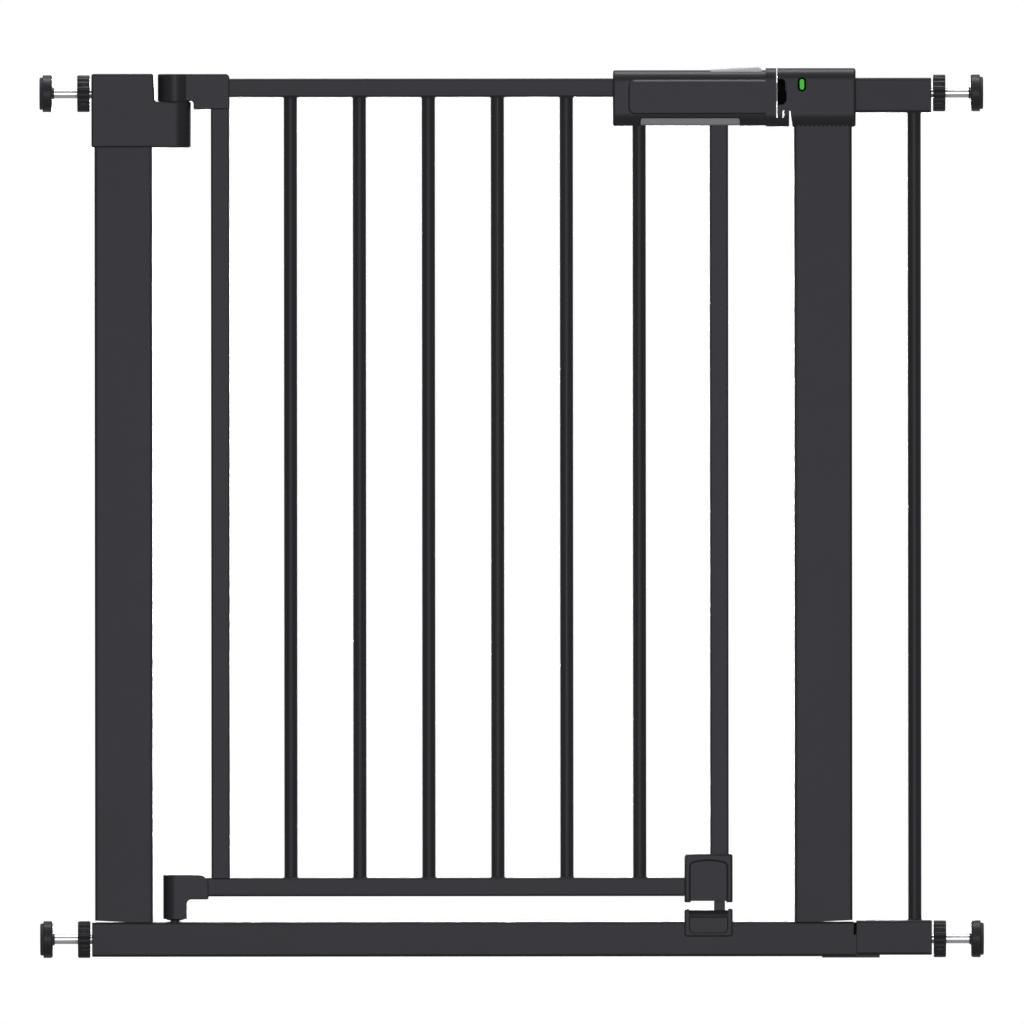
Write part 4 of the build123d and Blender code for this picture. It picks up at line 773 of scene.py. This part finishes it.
class GATE_OT_shade_ring(Operator):
    """Seats a black ring in the sunk rim of the indicator window: painted shade standing in for the shaded
    recess wall
    """

    bl_idname = "gate.bezel"
    bl_label = "Window shade ring"

    def execute(self, context):
        overlap = 0.0012      # flag's height past the window's
        seat = 0.0008         # ring's foot under the face of the catch
        height = 0.0009       # ring's height over its foot
        fill = 0.49           # half of the ring's width as a share of the rim's
        fullness = 0.6        # below one, the ring's arch has steeper sides
        steps, arch_steps = 48, 8
        low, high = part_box("indicator_flag")
        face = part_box("catch_housing")[0].y
        centre = window_centre()
        width = sizes().window_width
        rim = sizes().window_rim
        lip = sizes().window_lip
        straight = high.z - low.z - overlap - width + lip
        radius = width / 2 + rim / 2 - lip / 2
        arch = [math.pi * k / arch_steps for k in range(arch_steps + 1)]
        section = [((fill * rim + lip / 2) * math.cos(a), height * math.sin(a) ** fullness) for a in arch]
        forward = Vector((0, -1, 0))
        work = bmesh.new()
        rings = []
        for i in range(steps):
            angle = 2 * math.pi * (i + 0.5) / steps
            shift = straight / 2 if math.sin(angle) > 0 else -straight / 2
            outward = Vector((math.cos(angle), 0, math.sin(angle)))
            point = Vector((centre.x, face + seat, centre.z + shift)) + outward * radius
            rings.append([work.verts.new(point + outward * a + forward * b) for a, b in section])
        bridge(work, rings + rings[:1])
        # painted shade: a black ring where the window's sunk rim is in shade
        piece = settled(work, "window_shade_ring", shade_black(), "frame")
        return {"FINISHED"}


class GATE_OT_shade_fill(Operator):
    """Black blocks in the rail's notch, where the extension meets it, on both sides of the plug's web:
    painted shade that fills the shaded gap
    """

    bl_idname = "gate.seal"
    bl_label = "Joint shade fill"

    def execute(self, context):
        notch_width = 0.0025
        notch_height = 0.0113
        half_web = 0.002
        inset = 0.0015
        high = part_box("threshold_rail")[1]
        left = high.x - notch_width + FIT
        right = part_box("extension_bottom_tube")[0].x
        bottom = high.z - notch_height
        top = high.z - inset / 2
        near = half_web + FIT
        far = high.y - inset
        work = bmesh.new()
        for front, back in ((-far, -near), (near, far)):
            add_block(work, (left, front, bottom), (right, back, top))
        # painted shade: black fill where the notch is in shade
        piece = settled(work, "joint_shade_fill", shade_black(), "frame")
        return {"FINISHED"}


class GATE_OT_metal(Operator):
    """Finishes the pins, pegs, bolt, pull rod and the springs that keep their length"""

    bl_idname = "gate.metal"
    bl_label = "Inner metal"

    def execute(self, context):
        wear(steel(), "upper_hinge_pin", "cross_pin", "pull_rod")
        # painted shade: the pegs are black so the notch between rail and extension reads as shaded
        wear(shade_black(), "extension_pegs")
        wear(paint(), "lower_hinge_pin")
        # partly painted shade: the bolt is blackened so it reads dark in the catch's mouth
        wear(oxide_and_shade_steel(), "latch_bolt")
        wear(spring_wire(), "closing_spring", "indicator_spring")
        return {"FINISHED"}


class GATE_OT_springs(Operator):
    """Springs of the latch and the squeeze bar, which shorten as these move; here copied as meshes of their
    own in spring wire, which keep their length
    """

    bl_idname = "gate.springs"
    bl_label = "Springs"

    def execute(self, context):
        # fixed is the end that stays: 0 for the low one, 1 for the high one
        for node, name, joint, axis, fixed in (
                ("latch_spring", "latch_coil", "thumb_slide", 0, 0),
                ("squeeze_springs", "squeeze_coils", "squeeze_lift", 2, 1)):
            piece = settled(copied(node), name, spring_wire(), "door")
            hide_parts(node)
            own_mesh(piece)
        return {"FINISHED"}


class GATE_OT_spindles(Operator):
    """Plates the spindle rods and cuts their threads"""

    bl_idname = "gate.spindles"
    bl_label = "Spindles"

    def execute(self, context):
        proud = 0.0001      # thread's radius over the plain rod's
        tree = thread_tree()
        for corner in CORNERS:
            low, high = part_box("spindle_rod_" + corner)
            wheel_low, wheel_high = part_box("hand_wheel_" + corner)
            middle = (low + high) / 2
            if corner.startswith("left"):
                start, end = wheel_low.x, high.x
            else:
                start, end = low.x, wheel_high.x
            radius = (high.z - low.z) / 2 + proud
            values = {"Length": end - start, "Pitch": sizes().thread_pitch, "Radius": radius}
            foot = (start, middle.y, middle.z)
            piece = grow("spindle_thread_" + corner, tree, values, [foot], "spindle_" + corner)
            wear(zinc(), "spindle_rod_" + corner)
        return {"FINISHED"}


class GATE_OT_pads(Operator):
    """Moulds the grooved rubber faces of the wall pads"""

    bl_idname = "gate.pads"
    bl_label = "Wall pads"

    def execute(self, context):
        slope = 0.0004       # sloping side of a groove, and the first step of the rounded rim
        bottom = 0.0008      # flat bottom of a groove
        sink = 0.0006        # depth of a groove
        rim = 0.0012         # rounding of the rim
        margin = 0.0024      # outer edge to the first groove
        hub = 0.003          # radius of the plain middle
        upright, bent = 0.72, 0.9      # rim's straight side and first step, as shares of the thickness
        rubber = grained("tread_rubber", colours().rubber, scale=1800.0, roughness=0.7, specular=0.1,
                         bump=0.3)
        count = sizes().pad_rings
        for corner in CORNERS:
            low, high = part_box("pad_face_" + corner)
            middle = (low + high) / 2
            radius = (high.z - low.z) / 2
            thick = high.x - low.x
            side = -1 if corner.startswith("left") else 1
            centre = Vector((low.x if side > 0 else high.x, middle.y, middle.z))
            profile = [(0, 0), (radius, 0), (radius, thick * upright), (radius - slope, thick * bent),
                       (radius - rim, thick)]
            for ring in range(count):
                edge = radius - margin - ring * (radius - hub) / count
                profile += [(edge, thick), (edge - slope, thick - sink),
                            (edge - slope - bottom, thick - sink), (edge - 2 * slope - bottom, thick)]
            profile.append((0, thick))
            piece = turned("pad_tread_" + corner, profile, centre, side, rubber, "spindle_" + corner)
            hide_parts("pad_face_" + corner)
        return {"FINISHED"}


class GATE_OT_screws(Operator):
    """Cross-headed screws in the rear faces"""

    bl_idname = "gate.screws"
    bl_label = "Screws"

    def execute(self, context):
        tree = screw_tree()
        for body, node, shank in (("frame", "post_screws", 0.0018), ("door", "handle_screws", 0.0015)):
            boxes = islands(node)
            heads = [((low.x + high.x) / 2, high.y, (low.z + high.z) / 2) for low, high in boxes]
            length = min(high.y - low.y for low, high in boxes)
            values = {"Head Radius": shank + sizes().head_overhang, "Shank Radius": shank, "Length": length}
            piece = grow(node + "_crossed", tree, values, heads, body)
            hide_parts(node)
        return {"FINISHED"}


class GATE_OT_stage(Operator):
    """Pale floor and backdrop, soft lights and the camera"""

    bl_idname = "gate.stage"
    bl_label = "Stage"

    def execute(self, context):
        scene = context.scene
        scene.view_settings.view_transform = "Standard"
        self.lay_floor(scene)
        self.light_world(scene)
        self.hang_lamps(scene)
        self.aim_camera(scene)
        return {"FINISHED"}

    def lay_floor(self, scene):
        """A round floor under the gate."""
        sides = 96
        level = CAD_BOX[0][2]
        reach = sizes().floor_reach
        angles = [2 * math.pi * i / sides for i in range(sides)]
        floor = bpy.data.meshes.new("floor")
        rim = [(reach * math.cos(a), reach * math.sin(a), level) for a in angles]
        floor.from_pydata(rim, [], [range(sides)])
        floor.materials.append(floor_finish(reach))
        ground = bpy.data.objects.new("floor", floor)
        scene.collection.objects.link(ground)

    def light_world(self, scene):
        """White where it is seen, with a little light on the gate."""
        world = bpy.data.worlds.new("studio")
        scene.world = world
        world.use_nodes = True
        tree = world.node_tree
        sky = tree.nodes["Background"]
        sky.inputs["Color"].default_value = (1, 1, 1, 1)
        strength = put(tree, "ShaderNodeMapRange",
                       {"Value": seen_directly(tree), "To Min": 0.04, "To Max": 1.0})
        tree.links.new(strength.outputs["Result"], sky.inputs["Strength"])

    def hang_lamps(self, scene):
        """Soft boxes round the gate, all turned to its middle."""
        target = Vector((0.0, 0.0, 0.4))
        for name, place, wide, tall, power in (
                ("front_box", (0.0, -6.0, 0.45), 1.6, 0.8, 320.0),
                ("rear_box", (0.0, 6.0, 0.45), 1.6, 0.8, 320.0),
                ("top_box", (0.0, 0.4, 4.0), 1.2, 1.2, 230.0),
                ("left_box", (-5.0, 0.0, 2.4), 2.0, 2.0, 40.0),
                ("right_box", (5.0, 0.0, 2.4), 2.0, 2.0, 40.0)):
            lamp = bpy.data.lights.new(name, "AREA")
            lamp.shape = "RECTANGLE"
            lamp.size = wide
            lamp.size_y = tall
            lamp.energy = power
            holder = bpy.data.objects.new(name, lamp)
            holder.location = place
            holder.rotation_euler = (target - Vector(place)).to_track_quat("-Z", "Y").to_euler()
            holder.visible_camera = False
            scene.collection.objects.link(holder)

    def aim_camera(self, scene):
        """The photo's view: straight from the front, nearly parallel, with the photo's slight roll."""
        shift, height = 0.0003, 0.3858
        roll = Matrix.Rotation(math.radians(-0.05), 3, "Z")
        distance = sizes().camera_distance
        lens = bpy.data.cameras.new("camera")
        lens.sensor_width = 36.0
        lens.lens = lens.sensor_width * distance / sizes().view_width
        lens.clip_end = 2 * distance
        eye = bpy.data.objects.new("camera", lens)
        eye.location = (shift, -distance, height)
        eye.rotation_euler = (Matrix.Rotation(math.pi / 2, 3, "X") @ roll).to_euler()
        scene.collection.objects.link(eye)
        scene.camera = eye


STEPS = (GATE_OT_tubes, GATE_OT_welds, GATE_OT_mouldings, GATE_OT_controls, GATE_OT_slider, GATE_OT_wheels,
         GATE_OT_shade_ring, GATE_OT_shade_fill, GATE_OT_metal, GATE_OT_springs, GATE_OT_spindles, GATE_OT_pads,
         GATE_OT_screws, GATE_OT_stage)


class GATE_PT_panel(Panel):
    """Lists the steps that dress the gate"""

    bl_idname = "GATE_PT_panel"
    bl_label = "Safety gate"
    bl_space_type = "VIEW_3D"
    bl_region_type = "UI"
    bl_category = "Gate"

    def draw(self, context):
        for group in (context.scene.gate_colours, context.scene.gate_sizes):
            for key in group.__annotations__:
                self.layout.prop(group, key)
        for step in STEPS:
            self.layout.operator(step.bl_idname)


CLASSES = (GateColours, GateSizes, *STEPS, GATE_PT_panel)


def register():
    for item in CLASSES:
        bpy.utils.register_class(item)
    bpy.types.Scene.gate_colours = PointerProperty(type=GateColours)
    bpy.types.Scene.gate_sizes = PointerProperty(type=GateSizes)


def unregister():
    del bpy.types.Scene.gate_sizes
    del bpy.types.Scene.gate_colours
    for item in reversed(CLASSES):
        bpy.utils.unregister_class(item)


def main():
    register()
    bpy.ops.gate.tubes()
    bpy.ops.gate.welds()
    bpy.ops.gate.mouldings()
    bpy.ops.gate.controls()
    bpy.ops.gate.slider()
    bpy.ops.gate.wheels()
    bpy.ops.gate.bezel()
    bpy.ops.gate.seal()
    bpy.ops.gate.metal()
    bpy.ops.gate.springs()
    bpy.ops.gate.spindles()
    bpy.ops.gate.pads()
    bpy.ops.gate.screws()
    bpy.ops.gate.stage()


if __name__ == "__main__":
    main()
